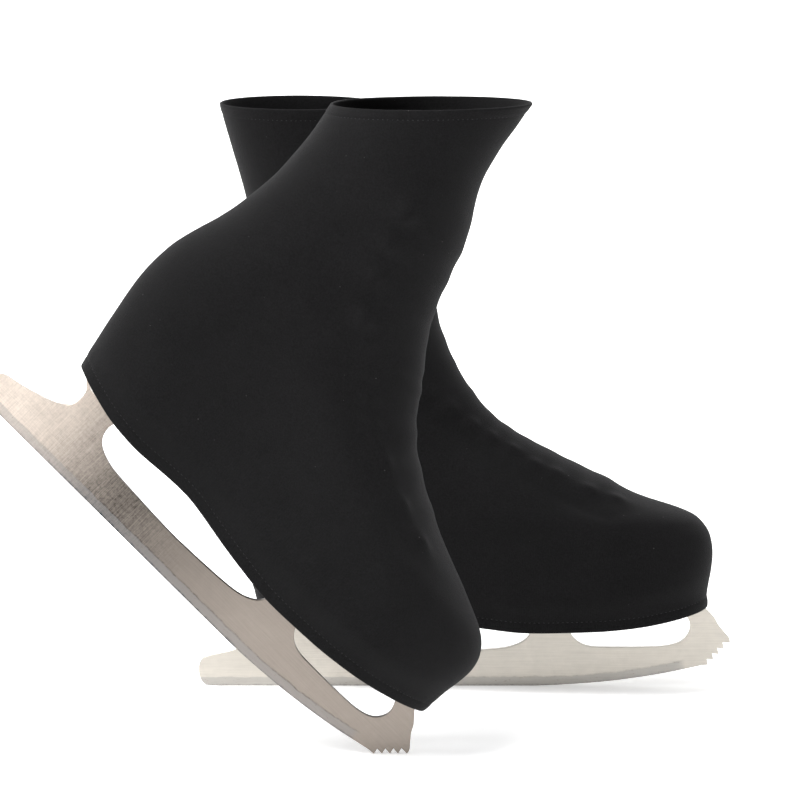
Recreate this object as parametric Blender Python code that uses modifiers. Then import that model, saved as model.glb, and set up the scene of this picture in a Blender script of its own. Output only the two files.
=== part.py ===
"""A pair of figure skates in black stretch boot covers.

The left skate stands flat on its blade. The right skate stands on its toe
picks with the heel raised. Every length below is in millimetres in a
skate's own frame: x runs to the toe, y to the outer side of the foot,
z up from the ice, with the origin under the ball-to-heel midpoint of the
blade. World units are metres, toes at +X, left foot at +Y, +Z up.
"""
import math

import bmesh
import bpy
import numpy as np
from mathutils import Matrix, Vector

# ---------------------------------------------------------------- driving sizes
MM = 0.001
BLADE_T = 4.0            # blade thickness
BLADE_Z = 44.7           # top of the front and middle stanchions
HEEL_STAND_Z = 42.7      # top of the rear stanchion
PLATE_T = 3.0            # toe and heel plate thickness
TOE_PLATE_Z = 45.0       # underside of the toe plate
HEEL_PLATE_Z = 43.0      # underside of the heel plate
SOLE_T = 6.0             # outsole thickness
SOLE_FRONT_Z = 48.3      # underside of the sole at the ball
SOLE_HEEL_Z = 70.0       # underside of the sole over the heel
INSOLE_T = 2.0
FOOTBED_T = 3.0
COVER_T = 1.2            # doubled stretch knit
BOOT_IN = 4.0            # boot face below the cover's outer face
BOOT_T = 3.2             # leather with lining
TONGUE_IN = 8.0
TONGUE_T = 3.0
PAD_IN = 8.0
PAD_T = 3.5
LACE_R = 1.1
PICK_TILT = math.radians(45.2)   # how far the right skate is tipped onto its picks
PICK_ROW = (147.5, 16.6)         # middle of the row of picks
PICK_REACH = 8.0                 # from there to the rearmost and foremost tips
ANKLE = (-38.0, 138.0)           # ankle flex axis
FOOT_Y = 95.0                    # each skate's distance from the middle plane
LEFT_X = 32.4                    # left skate's frame along world X
RIGHT_ROW_X = 12.4               # the right pick row along world X
GAP = 0.35                       # clearance between touching pieces
TOP_LEFT = 298.0                 # height of the left cover's top hem
TOP_RIGHT = 315.0                # height of the right cover's top hem

SKATE_NAME = "covered_figure_skates"

# ------------------------------------------------------------------ clean scene
for old in list(bpy.data.objects):
    bpy.data.objects.remove(old, do_unlink=True)
parts = bpy.data.collections.new(SKATE_NAME)
cutters = bpy.data.collections.new("cutters")
for coll in (parts, cutters):
    bpy.context.scene.collection.children.link(coll)


# -------------------------------------------------------------------- materials
def material(name, colour, rough, metal=0.0):
    m = bpy.data.materials.get(name) or bpy.data.materials.new(name)
    m.use_nodes = True
    b = m.node_tree.nodes["Principled BSDF"]
    b.inputs["Base Color"].default_value = (*colour, 1)
    b.inputs["Roughness"].default_value = rough
    b.inputs["Metallic"].default_value = metal
    return m


STEEL = ("blade_steel", (0.62, 0.60, 0.56), 0.34, 1.0)
PLATE = ("plate_steel", (0.58, 0.57, 0.55), 0.4, 1.0)
SCREW = ("screw_steel", (0.7, 0.7, 0.7), 0.3, 1.0)
SOLE = ("sole_leather", (0.05, 0.035, 0.025), 0.55)
LEATHER = ("boot_leather", (0.03, 0.03, 0.032), 0.45)
LINING = ("lining", (0.42, 0.34, 0.25), 0.8)
FOAM = ("footbed_foam", (0.12, 0.12, 0.13), 0.85)
LACE = ("lace", (0.05, 0.05, 0.05), 0.8)
HOOK = ("hook_metal", (0.6, 0.6, 0.62), 0.3, 1.0)
KNIT = ("cover_knit", (0.015, 0.015, 0.016), 0.8)
HEM_CLOTH = ("hem_knit", (0.012, 0.012, 0.013), 0.85)
ELASTIC = ("elastic", (0.03, 0.03, 0.03), 0.8)


# ------------------------------------------------------------------ small tools
def smooth(u):
    u = np.clip(u, 0.0, 1.0)
    return u * u * (3 - 2 * u)


def spline(keys, steps=5):
    """Catmull-Rom curve through the keys; a key (x, z, 0) is a hard corner."""
    pts = []
    last = len(keys) - 1
    for i in range(last):
        p1, p2 = np.array(keys[i][:2], float), np.array(keys[i + 1][:2], float)
        hard1 = len(keys[i]) == 3 or i == 0
        hard2 = len(keys[i + 1]) == 3 or i + 1 == last
        p0 = p1 if hard1 else np.array(keys[i - 1][:2], float)
        p3 = p2 if hard2 else np.array(keys[i + 2][:2], float)
        n = 1 if (hard1 and hard2) else steps
        for k in range(n):
            t = k / n
            pts.append(
                0.5 * (2 * p1 + (p2 - p0) * t + (2 * p0 - 5 * p1 + 4 * p2 - p3) * t * t
                       + (3 * p1 - p0 - 3 * p2 + p3) * t ** 3)
            )
    pts.append(np.array(keys[last][:2], float))
    return [tuple(p) for p in pts]


class Guide:
    """A profile x(z), offset inwards by any distance."""

    def __init__(self, keys, inward):
        fine = np.array(spline(keys, 6))
        self.x, self.z = fine[:, 0], fine[:, 1]
        d = np.gradient(fine, axis=0)
        d /= np.linalg.norm(d, axis=1)[:, None]
        self.n = np.stack([-d[:, 1], d[:, 0]], 1) * inward   # to the inside

    def at(self, z, off=0.0):
        x, zz = self.x + self.n[:, 0] * off, self.z + self.n[:, 1] * off
        order = np.argsort(zz)
        return np.interp(z, zz[order], x[order])


# the cover's outer faces, back and front, from the hem up
BACK_KEYS = [(-88.5, 36), (-88.5, 45), (-90.4, 52), (-92.2, 60), (-94, 68), (-95.8, 77),
             (-97.4, 85), (-98.7, 93), (-99.4, 101), (-99.4, 109), (-98.8, 117),
             (-97.4, 124), (-95.4, 131.5), (-92.6, 141), (-90.4, 151), (-89.2, 160),
             (-88.2, 170), (-88.0, 180)]
UPPER = {
    "left": dict(
        heel=0.0,
        toe=[(140.6, 35), (141.4, 43), (141.1, 48.5), (141.8, 54), (143.2, 62), (143.8, 71),
             (142.2, 79.5), (138.6, 85.2), (134.5, 88.7), (127.3, 91.7), (120.2, 93.8),
             (113.1, 95.9), (105.9, 98.4), (98.8, 101.5), (91.6, 105.2), (84.5, 108.4),
             (77.3, 111.8), (70.2, 115.2), (63.1, 118.9), (55.9, 122.6), (48.8, 126.4),
             (41.7, 130.8), (34.5, 136), (27, 143), (19.5, 152.3)],
        back=[(-88.2, 195), (-88.6, 215), (-90, 235), (-92.8, 249), (-96.2, 262),
              (-100, 275), (-105.4, 294), (-107, 302)],
        front=[(13.1, 163), (8.5, 173), (5.2, 182), (2.2, 193.5), (-1.2, 205), (-4.6, 216), (-7.4, 224.5),
               (-11.5, 236), (-15, 250), (-18.5, 264), (-22, 280), (-26, 302)],
    ),
    "right": dict(
        heel=3.0,
        toe=[(143.4, 34), (144.6, 41.5), (145, 45.8), (145.2, 50.5), (145.6, 57), (146.6, 64.6), (147, 72),
             (145.5, 78.8), (141.5, 84.8), (134.9, 89.8), (123, 95.2), (112.1, 99.8),
             (97, 105.6), (82.5, 111.6), (70, 118), (57.9, 125), (49, 131.5), (41.7, 138.4),
             (36, 144.8), (32, 149.8), (28.5, 154.6), (24.3, 160.4), (18.8, 167.4)],
        back=[(-92.6, 200), (-95.6, 216), (-99.2, 232), (-103, 248), (-107, 268), (-111, 300)],
        front=[(13.6, 174.6), (10.4, 180.4), (7.6, 186), (4.6, 193.4), (1.6, 201.6), (-1.5, 210),
               (-4.4, 218), (-7.9, 225.4), (-12.2, 232), (-16.3, 238.8), (-19.7, 246.3),
               (-22.1, 254.7), (-24.2, 263.5), (-25.7, 273), (-27.4, 282.1), (-29, 292),
               (-30.5, 304)],
    ),
}
HEM_KEYS = [(-95, 45.5), (-89, 44.8), (-84, 43.8), (-77, 42.4), (-65, 40.2), (-51, 39), (-42, 39),
            (-30, 40), (-21, 40.6), (-10, 40.6), (3, 38.8), (16, 36.8), (30, 35.2),
            (47, 33.8), (67, 34.4), (82, 35.2), (97, 36.6), (111, 38.4), (126, 41),
            (136, 43), (141, 44), (147, 44.6)]
HEM = np.array(spline(HEM_KEYS, 4))
WIDE = np.array([(-100, 33), (-60, 33.6), (-40, 32.4), (-20, 32), (0, 34), (20, 37.6),
                 (40, 41.6), (60, 44.4), (85, 45.6), (150, 45.6)])
MIDDLE = np.array([(-100, 0), (-40, 0.4), (-20, 1), (20, 2), (55, 2.6), (80, 1.2),
                   (105, -2), (125, -4.6), (150, -7)])


class Last:
    """The shape of one skate's upper: half width and middle line anywhere on it."""

    def __init__(self, which):
        s = UPPER[which]
        self.back = Guide([(x - s["heel"], z) for x, z in BACK_KEYS] + s["back"], -1)
        self.front = Guide(s["toe"] + s["front"], 1)
        self.lean = 0.0 if which == "left" else 4.0

    def half(self, x, z, off=0.0):
        xb, xf = self.back.at(z, off), self.front.at(z, off)
        shaft = np.interp(z, [90, 125, 145, 165, 190, 212, 224, 240, 262, 300],
                          [37, 37.5, 38.2, 36.6, 37.4, 40.4, 41, 38.6, 38.4, 41])
        wide = np.interp(x, WIDE[:, 0], WIDE[:, 1])
        wide = wide + (shaft - wide) * smooth((z - 88) / 60)
        hem = np.interp(x, HEM[:, 0], HEM[:, 1])
        wide = wide * (0.86 + 0.14 * smooth((z - hem) / 18)) - off
        lr = 36 + 8 * smooth((z - 150) / 60)
        lf = np.interp(z, [40, 64, 84, 100, 125, 150, 175, 200], [58, 60, 74, 92, 96, 78, 52, 46])
        u = np.clip((x - xb) / (lr - off), 0, 1)
        v = np.clip((xf - x) / (lf - off), 0, 1)
        r = (1 - (1 - u) ** 2.1) ** 0.5 * (1 - (1 - v) ** 2.15) ** 0.5
        return wide * r

    def middle(self, x, z):
        m = np.interp(x, MIDDLE[:, 0], MIDDLE[:, 1])
        return m * (1 - smooth((z - 95) / 55))

    def ring(self, zb, zf, bow, n, off=0.0):
        """Points around one level: back, outer side, front, inner side."""
        xb, xf = float(self.back.at(zb, off)), float(self.front.at(zf, off))
        s = np.arange(n + 1) / n
        t = (1 - np.cos(np.pi * s)) / 2
        x = xb + (xf - xb) * t
        z = zb + (zf - zb) * t + bow(x, xb, xf, zb, zf)
        h = self.half(x, z, off)
        h[0] = h[-1] = 0.0
        m = self.middle(x, z)
        side = [(x[i], m[i] + h[i], z[i]) for i in range(n + 1)]
        other = [(x[i], m[i] - h[i], z[i]) for i in range(n - 1, 0, -1)]
        return side + other


def flat(x, xb, xf, zb, zf):
    return 0 * x


def bowed(line, x):
    """How far a line stands above its own chord."""
    return line - (line[0] + (line[-1] - line[0]) * (x - x[0]) / (x[-1] - x[0]))


def hem_bow(x, xb, xf, zb, zf):
    return bowed(np.interp(x, HEM[:, 0], HEM[:, 1]), x)


def cut_line(x, front_deg, back_deg):
    """Lower pieces end on two lines that fall away from the ankle axis."""
    dx = x - ANKLE[0]
    return ANKLE[1] - np.where(dx > 0, dx * math.tan(math.radians(front_deg)),
                               -dx * math.tan(math.radians(back_deg)))


def soletop(x, up=0.0):
    """Top of the outsole: level under the ball, up through the arch to the heel."""
    z0, z1 = SOLE_FRONT_Z + SOLE_T, SOLE_HEEL_Z + SOLE_T
    return z0 + (z1 - z0) * smooth((32 - x) / 66) + up + 2.2 * smooth((x - 105) / 45)


# --------------------------------------------------------------- placing pieces
class Skate:
    def __init__(self, which):
        self.which = which
        self.side = 1 if which == "left" else -1
        self.last = Last(which)
        self.front_deg, self.back_deg = (11.5, 7.5) if which == "left" else (7.5, 11.5)
        base = bpy.data.objects.new(f"{which}_skate_frame", None)
        parts.objects.link(base)
        if which == "left":
            base.location = (LEFT_X * MM, FOOT_Y * MM, 0)
            self.pivot = (0.0, 0.0)
        else:
            # it tips about its rearmost pick
            base.location = ((RIGHT_ROW_X - PICK_REACH) * MM, -FOOT_Y * MM, 0)
            base.rotation_euler = (0, PICK_TILT, 0)
            self.pivot = (PICK_ROW[0] - PICK_REACH * math.cos(PICK_TILT),
                          PICK_ROW[1] - PICK_REACH * math.sin(PICK_TILT))
        self.base = base
        cuff = bpy.data.objects.new(f"{which}_ankle_axis", None)
        parts.objects.link(cuff)
        cuff.parent = base
        cuff.location = ((ANKLE[0] - self.pivot[0]) * MM, 0, (ANKLE[1] - self.pivot[1]) * MM)
        self.cuff = cuff

    def point(self, p, body):
        o = self.pivot if body == "foot" else ANKLE
        return ((p[0] - o[0]) * MM, p[1] * self.side * MM, (p[2] - o[1]) * MM)

    def place(self, ob, body, mat, smooth_it=True):
        ob.parent = self.base if body == "foot" else self.cuff
        ob.data.materials.clear()
        ob.data.materials.append(material(*mat))
        if smooth_it and ob.type == "MESH":
            ob.data.shade_smooth()
            ob.data.set_sharp_from_angle(angle=math.radians(35))
        return ob

    def name(self, part):
        return f"{self.which}_{part}"

    def mesh(self, part, verts, faces, body, mat):
        """A mesh from points in the skate's frame; faces face out for the left skate."""
        me = bpy.data.meshes.new(self.name(part))
        if self.side < 0:
            faces = [tuple(reversed(f)) for f in faces]
        me.from_pydata([self.point(p, body) for p in verts], [], faces)
        me.validate()
        ob = bpy.data.objects.new(self.name(part), me)
        parts.objects.link(ob)
        return self.place(ob, body, mat)

    def shell(self, part, rings, thick, body, mat, columns=None, closed=True, even=False):
        """A lofted skin through rings of equal count, thickened inwards."""
        n = len(rings[0])
        verts = [p for r in rings for p in r]
        faces = []
        cols = range(n if closed else n - 1)
        for k in range(len(rings) - 1):
            for j in cols:
                if columns and not columns(k, j):
                    continue
                a, b = k * n + j, k * n + (j + 1) % n
                faces.append((a, a + n, b + n, b))
        ob = self.mesh(part, verts, faces, body, mat)
        bm = bmesh.new()
        bm.from_mesh(ob.data)
        bmesh.ops.delete(bm, geom=[v for v in bm.verts if not v.link_faces], context="VERTS")
        bm.to_mesh(ob.data)
        bm.free()
        sol = ob.modifiers.new("thickness", "SOLIDIFY")
        sol.thickness = thick * MM
        sol.offset = -1
        sol.use_even_offset = even
        sol.thickness_clamp = 0
        return ob

    def block(self, part, sections, body, mat, bevel=0.0):
        """A solid lofted along x through closed sections, capped at both ends."""
        n = len(sections[0])
        verts = [p for s in sections for p in s]
        faces = []
        for k in range(len(sections) - 1):
            for j in range(n):
                a, b = k * n + j, k * n + (j + 1) % n
                faces.append((a, b, b + n, a + n))
        faces.append(tuple(reversed(range(n))))
        faces.append(tuple(range(len(verts) - n, len(verts))))
        ob = self.mesh(part, verts, faces, body, mat)
        bm = bmesh.new()
        bm.from_mesh(ob.data)
        bmesh.ops.recalc_face_normals(bm, faces=bm.faces)
        bm.to_mesh(ob.data)
        bm.free()
        if bevel:
            b = ob.modifiers.new("edge", "BEVEL")
            b.width = bevel * MM
            b.segments = 1
            b.limit_method = "ANGLE"
            b.angle_limit = math.radians(50)
        return ob

    def outline(self, part, pts, y0, y1, axis, body, mat):
        """A flat outline given as points, extruded: axis 'y' for side profiles, 'z' for plans."""
        cu = bpy.data.curves.new(self.name(part), "CURVE")
        cu.dimensions = "2D"
        cu.fill_mode = "BOTH"
        cu.extrude = abs(y1 - y0) / 2 * MM
        sp = cu.splines.new("POLY")
        sp.points.add(len(pts) - 1)
        o = self.pivot if body == "foot" else ANKLE
        for q, p in zip(sp.points, pts):
            if axis == "y":
                q.co = ((p[0] - o[0]) * MM, (p[1] - o[1]) * MM, 0, 1)
            else:
                q.co = ((p[0] - o[0]) * MM, p[1] * self.side * MM, 0, 1)
        sp.use_cyclic_u = True
        raw = bpy.data.objects.new(self.name(part) + "_raw", cu)
        parts.objects.link(raw)
        raw.parent = self.base if body == "foot" else self.cuff
        mid = (y0 + y1) / 2
        if axis == "y":
            raw.rotation_euler = (math.pi / 2, 0, 0)
            raw.location = (0, mid * self.side * MM, 0)
        else:
            raw.location = (0, 0, (mid - o[1]) * MM)
        return self.solid_from(raw, part, body, mat)

    def solid_from(self, raw, part, body, mat):
        """Turns a curve object into a welded mesh in the same place."""
        bpy.context.view_layer.update()
        me = bpy.data.meshes.new_from_object(raw.evaluated_get(bpy.context.evaluated_depsgraph_get()))
        me.name = self.name(part)
        bm = bmesh.new()
        bm.from_mesh(me)
        bmesh.ops.remove_doubles(bm, verts=bm.verts, dist=1e-6)
        bmesh.ops.recalc_face_normals(bm, faces=bm.faces)
        bm.to_mesh(me)
        bm.free()
        ob = bpy.data.objects.new(self.name(part), me)
        parts.objects.link(ob)
        ob.parent = raw.parent
        ob.rotation_euler = raw.rotation_euler
        ob.location = raw.location
        data = raw.data
        bpy.data.objects.remove(raw, do_unlink=True)
        bpy.data.curves.remove(data)
        return self.place(ob, body, mat)

    def tube(self, part, pts, radius, body, mat, cyclic=False, res=2):
        cu = bpy.data.curves.new(self.name(part), "CURVE")
        cu.dimensions = "3D"
        cu.bevel_depth = radius * MM
        cu.bevel_resolution = res
        cu.use_fill_caps = not cyclic
        sp = cu.splines.new("POLY")
        sp.points.add(len(pts) - 1)
        for q, p in zip(sp.points, pts):
            q.co = (*self.point(p, body), 1)
        sp.use_cyclic_u = cyclic
        ob = bpy.data.objects.new(self.name(part), cu)
        parts.objects.link(ob)
        return self.place(ob, body, mat)

    def stud(self, ob, part, at, normal, radius, high, body):
        """A low round stud joined onto a facing, pointing along its normal."""
        me = bpy.data.meshes.new(part)
        bm = bmesh.new()
        bmesh.ops.create_cone(bm, cap_ends=True, segments=6, radius1=radius * MM,
                              radius2=radius * 0.75 * MM, depth=high * MM)
        bmesh.ops.translate(bm, verts=bm.verts, vec=(0, 0, high / 2 * MM - 0.5 * MM))
        bm.to_mesh(me)
        bm.free()
        tool = bpy.data.objects.new(self.name(part), me)
        cutters.objects.link(tool)
        tool.parent = ob.parent
        tool.location = self.point(at, body)
        n = Vector((normal.x, normal.y * self.side, normal.z))
        tool.rotation_mode = "QUATERNION"
        tool.rotation_quaternion = n.to_track_quat("Z", "Y")
        tool.hide_render = True
        tool.display_type = "WIRE"
        boolean(ob, tool, "UNION")

    def cutter(self, part, centre, radius, length, body="foot"):
        """An upright round cutter."""
        me = bpy.data.meshes.new(part)
        bm = bmesh.new()
        bmesh.ops.create_cone(bm, cap_ends=True, segments=10, radius1=radius * MM,
                              radius2=radius * MM, depth=length * MM)
        bm.to_mesh(me)
        bm.free()
        ob = bpy.data.objects.new(self.name(part), me)
        cutters.objects.link(ob)
        ob.parent = self.base if body == "foot" else self.cuff
        ob.location = self.point(centre, body)
        ob.hide_render = True
        ob.display_type = "WIRE"
        return ob


def boolean(ob, tool, operation="DIFFERENCE"):
    b = ob.modifiers.new(tool.name, "BOOLEAN")
    b.operation = operation
    b.object = tool
    b.solver = "EXACT"


# ------------------------------------------------------------------- the blade
def blade_outline():
    c, s = math.cos(PICK_TILT), math.sin(PICK_TILT)

    def row(d, up=0.0):
        """A point d along the pick row, and up at a right angle to it, into the steel."""
        return (PICK_ROW[0] + d * c - up * s, PICK_ROW[1] + d * s + up * c, 0)

    keys = [(-107, 0, 0), (54, 0, 0), (66, 0.5), (86, 1.9), (103, 3.9), (119, 6.5), (131, 9.0)]
    picks = [row(-10.6, 2.2)]
    for d, deep in ((-PICK_REACH, 2.5), (-4.1, 2.6), (-0.2, 2.7), (3.7, 2.8)):
        picks += [row(d), row(d + 1.7, deep)]
    picks += [row(PICK_REACH)]
    keys += picks
    keys += [(152.6, 24.6), (149.6, 28.2), (147.2, 31.2), (145.0, 35), (141, 39.4), (135.6, BLADE_Z, 0),
             (122, BLADE_Z, 0), (128.6, 39.6), (131.6, 35), (132.8, 31), (131.6, 26.6), (128, 22.8),
             (121, 20.6), (110, 19.9), (92, 19.8), (82, 20.2), (76, 22.4), (72.4, 26), (71, 30), (72.4, 37),
             (78, BLADE_Z, 0), (44, BLADE_Z, 0), (50, 38), (52.2, 32), (51.4, 27.6), (48.6, 23.8), (43, 20.8),
             (35, 19.2), (20, 18.2), (0, 17.6), (-15, 18), (-30, 18.8), (-44, 19.8), (-52, 21.8),
             (-57.6, 25), (-60.4, 30), (-60, 36), (-54, HEEL_STAND_Z, 0), (-86, HEEL_STAND_Z, 0),
             (-81.2, 38), (-80.2, 32.6), (-81.6, 27.8), (-85.4, 24), (-91, 21.2), (-98, 18.8),
             (-105, 16.6), (-112.5, 15.3), (-115.6, 14.2), (-117.6, 11.6), (-118, 8), (-117.4, 4.4),
             (-116, 1.9), (-113.6, 0.6), (-107, 0, 0)]
    pts = spline(keys, 2)
    return pts[:-1]


def plan(xs, half, mid):
    """A closed plan outline from half widths along x."""
    up = [(x, mid(x) + half(x)) for x in xs]
    down = [(x, mid(x) - half(x)) for x in reversed(xs)]
    out = []
    for p in up + down:
        if not out or math.dist(p, out[-1]) > 0.05:
            out.append(p)
    if math.dist(out[0], out[-1]) < 0.05:
        out.pop()
    return out


def oval(x, x0, x1, l0, l1, wide, p=2.2):
    u = min(max((x - x0) / l0, 0), 1)
    v = min(max((x1 - x) / l1, 0), 1)
    return wide * (1 - (1 - u) ** p) ** 0.5 * (1 - (1 - v) ** p) ** 0.5


def cosine(x0, x1, n):
    return [x0 + (x1 - x0) * (1 - math.cos(math.pi * i / n)) / 2 for i in range(n + 1)]


STATIONS = [-89, -86, -82, -76, -68, -58, -48, -40, -34, -28, -20, -12, -4, 4, 12, 20, 28, 36,
            50, 68, 86, 102, 114, 123, 130, 135, 139, 142]
TOE_SCREWS = [(62, 17), (62, -17), (104, 15), (104, -19)]
HEEL_SCREWS = [(-50, 16), (-50, -16), (-78, 11), (-78, -11)]


def screw(sk, part, x, y, z, length):
    """Pan-head wood screw, head down, turned from its profile."""
    prof = [(0, -2.4), (2.4, -2.2), (3.5, -1.0), (3.5, -GAP), (1.9, -GAP),
            (1.9, length - 3), (0, length)]
    me = bpy.data.meshes.new(sk.name(part))
    me.from_pydata([(r * MM, 0, h * MM) for r, h in reversed(prof)],
                   [(i, i + 1) for i in range(len(prof) - 1)], [])
    ob = bpy.data.objects.new(sk.name(part), me)
    parts.objects.link(ob)
    mod = ob.modifiers.new("turn", "SCREW")
    mod.steps = mod.render_steps = 8
    mod.use_merge_vertices = True
    mod.merge_threshold = 0.00001
    mod.use_smooth_shade = True
    ob.location = sk.point((x, y, z), "foot")
    return sk.place(ob, "foot", SCREW, smooth_it=False)


def lace_points(sk, levels, off, y):
    """Lacing from side to side over the tongue through ascending levels."""
    def on(z, y):
        """The point y from the middle line on the upper at height z, offset by off."""
        xf = float(sk.last.front.at(z, off))
        x = xf
        while x > xf - 70 and float(sk.last.half(np.array([x]), np.array([z]), off)[0]) < abs(y):
            x -= 0.25
        return (x, float(sk.last.middle(np.array([x]), np.array([z]))[0]) + y, z)

    pts = []
    for k, (a, b) in enumerate(zip(levels, levels[1:])):
        s = 1 if k % 2 == 0 else -1
        for t in (0, 0.25, 0.5, 0.75):
            pts.append(on(a + (b - a) * t, s * y * (1 - 2 * t)))
    pts.append(on(levels[-1], y * (1 if (len(levels) - 1) % 2 == 0 else -1)))
    return pts


def build(which):
    sk = Skate(which)
    last = sk.last
    N = 12                                  # columns from back to front on each side

    def vcut(x, xb, xf, zb, zf):
        return bowed(cut_line(x, sk.front_deg, sk.back_deg), x)

    def ends(off):
        """Where the lower pieces' upper edge meets the back and the front."""
        zb, zf = ANKLE[1] - 6, ANKLE[1] - 14
        for _ in range(40):
            zb = float(cut_line(np.array([last.back.at(zb, off)]), sk.front_deg, sk.back_deg)[0])
            zf = 0.5 * zf + 0.5 * float(cut_line(np.array([last.front.at(zf, off)]), sk.front_deg, sk.back_deg)[0])
        return zb, zf

    def lower_rings(off, start_b, start_f, start_bow, n):
        zb1, zf1 = ends(off)
        rings = []
        for k in range(n + 1):
            a = k / n
            # the front levels climb slowly over the toes, where the face is nearly level
            zf = start_f + (zf1 - start_f) * a ** 0.97
            zb = start_b + (zb1 - start_b) * a
            w0, w1 = (1 - a) ** 2, smooth((a - 0.55) / 0.45)

            def bow(x, xb, xf, b, f, w0=w0, w1=w1):
                return w0 * start_bow(x, xb, xf, b, f) + w1 * vcut(x, xb, xf, b, f)

            rings.append(last.ring(zb, zf, bow, N, off))
        return rings

    # --- blade and its plates
    blade = sk.outline("blade", blade_outline(), -BLADE_T / 2, BLADE_T / 2, "y", "foot", STEEL)

    def toe_half(x):
        return oval(x, 39, 136, 26, 44, 24 + 3.5 * smooth((x - 40) / 40))

    def toe_mid(x):
        return float(np.interp(x, MIDDLE[:, 0], MIDDLE[:, 1]))

    toe = sk.outline("toe_plate", plan(cosine(39, 136, 14), toe_half, toe_mid),
                     TOE_PLATE_Z, TOE_PLATE_Z + PLATE_T, "z", "foot", PLATE)
    heel_pl = sk.outline("heel_plate",
                         plan(cosine(-83.5, -33, 10), lambda x: oval(x, -83.5, -33, 30, 22, 22.5, 2.6), lambda x: 0.0),
                         HEEL_PLATE_Z, HEEL_PLATE_Z + PLATE_T, "z", "foot", PLATE)

    # --- sole stack: every layer is cut at the same stations, so the faces stay parallel
    def layer(part, inset, low, high, x0, x1, mat):
        """A layer between heights low(x) and high(x), inset from the cover's outer face."""
        secs = []
        for x in [x0] + [x for x in STATIONS if x0 + 2 < x < x1 - 2] + [x1]:
            z0, z1 = low(x), high(x)
            w0 = max(float(last.half(np.array([x]), np.array([max(z0, 50.0)]), inset)[0]), 4.5)
            w1 = max(float(last.half(np.array([x]), np.array([max(z1, 50.0)]), inset)[0]), 4.5)
            w1 = max(w0, w1)
            m = toe_mid(x)
            secs.append([(x, m - w0, z0), (x, m + w0, z0), (x, m + w1, z1), (x, m - w1, z1)])
        return sk.block(part, secs, "foot", mat)

    def top(x, up=0.0):
        return float(np.interp(x, STATIONS, soletop(np.array(STATIONS)))) + up

    sole = layer("outsole", 4.0, lambda x: top(x, -SOLE_T), top, -86.5, 138.4, SOLE)
    heel = layer("heel_block", 5.6, lambda x: HEEL_PLATE_Z + PLATE_T + GAP,
                 lambda x: top(x, -SOLE_T - GAP), -81.6, -30, SOLE)
    layer("insole_board", 11.0, lambda x: top(x, GAP), lambda x: top(x, GAP + INSOLE_T), -81, 130, LINING)
    layer("footbed", 12.2, lambda x: top(x, 2 * GAP + INSOLE_T),
          lambda x: top(x, 2 * GAP + INSOLE_T + FOOTBED_T), -80, 129, FOAM)

    # --- screws and their holes
    for i, (x, y) in enumerate(TOE_SCREWS):
        screw(sk, f"toe_plate_screw_{i + 1}", x, y, TOE_PLATE_Z, 7.6)
        hole = sk.cutter(f"toe_hole_{i + 1}", (x, y, TOE_PLATE_Z + 3.5), 2.4, 11)
        boolean(toe, hole)
        boolean(sole, hole)
    for i, (x, y) in enumerate(HEEL_SCREWS):
        screw(sk, f"heel_plate_screw_{i + 1}", x, y, HEEL_PLATE_Z, 16)
        hole = sk.cutter(f"heel_hole_{i + 1}", (x, y, HEEL_PLATE_Z + 8), 2.4, 20)
        boolean(heel_pl, hole)
        boolean(heel, hole)

    # --- boot: lower part with the throat open over the instep
    seat = 2.0                              # the lasted edge stands this far above the sole

    def sole_bow(x, xb, xf, zb, zf):
        return bowed(soletop(x, seat), x)

    zb0 = float(soletop(np.array([-94.0]), seat)[0])
    zf0 = float(soletop(np.array([143.0]), seat)[0])
    boot_rings = lower_rings(BOOT_IN, zb0, zf0, sole_bow, 9)
    throat = set(range(N - 3, N + 3))        # the columns either side of the front line
    sk.shell("boot_lower", boot_rings, BOOT_T, "foot", LEATHER,
             columns=lambda k, j: not (k >= 5 and j in throat))

    collar_b, collar_f = (206.0, 221.0)
    cuff_b = list(np.linspace(ANKLE[1] + 1.5, collar_b, 6))
    cuff_f = list(np.linspace(ANKLE[1] + 1.5, collar_f, 6))
    rings = [last.ring(b, f, flat, N, BOOT_IN) for b, f in zip(cuff_b, cuff_f)]
    sk.shell("boot_cuff", rings, BOOT_T, "cuff", LEATHER, columns=lambda k, j: not N - 4 <= j < N + 4)

    # --- tongue, in two lengths either side of the ankle
    def front_columns(rings, width):
        keep = list(range(N - width, N + width + 1))
        return [[r[j] for j in keep] for r in rings]

    t_rings = lower_rings(TONGUE_IN, zb0, 80.0, flat, 8)[3:]
    sk.shell("tongue_lower", front_columns(t_rings, 4), TONGUE_T, "foot", LEATHER, closed=False)
    t_b = np.linspace(ANKLE[1] + 1.5, 214, 7)
    t_f = np.linspace(ANKLE[1] + 1.5, 229, 7)
    rings = [last.ring(b, f, flat, N, TONGUE_IN) for b, f in zip(t_b, t_f)]
    sk.shell("tongue_upper", front_columns(rings, 5), TONGUE_T, "cuff", LEATHER, closed=False)

    # --- padded lining round the ankle and collar, clear of the tongue
    p_b = np.linspace(ANKLE[1] + 4, collar_b - 1.5, 6)
    p_f = np.linspace(ANKLE[1] + 4, collar_f - 1.5, 6)
    rings = [last.ring(b, f, flat, N, PAD_IN) for b, f in zip(p_b, p_f)]
    back_columns = set(range(0, N - 6)) | set(range(N + 6, 2 * N))
    sk.shell("collar_padding", rings, PAD_T, "cuff", LINING, columns=lambda k, j: j in back_columns)

    # --- cover: lower part, hem, shaft, top band
    low = lower_rings(0.0, 45.0, 42.6, hem_bow, 12)
    sk.shell("cover_lower", low, COVER_T, "foot", KNIT)

    if which == "left":
        c_b = np.linspace(ANKLE[1] + 1.5, TOP_LEFT - 10, 8)
        c_f = c_b.copy()
        top_b, top_f = TOP_LEFT, TOP_LEFT
    else:
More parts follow.
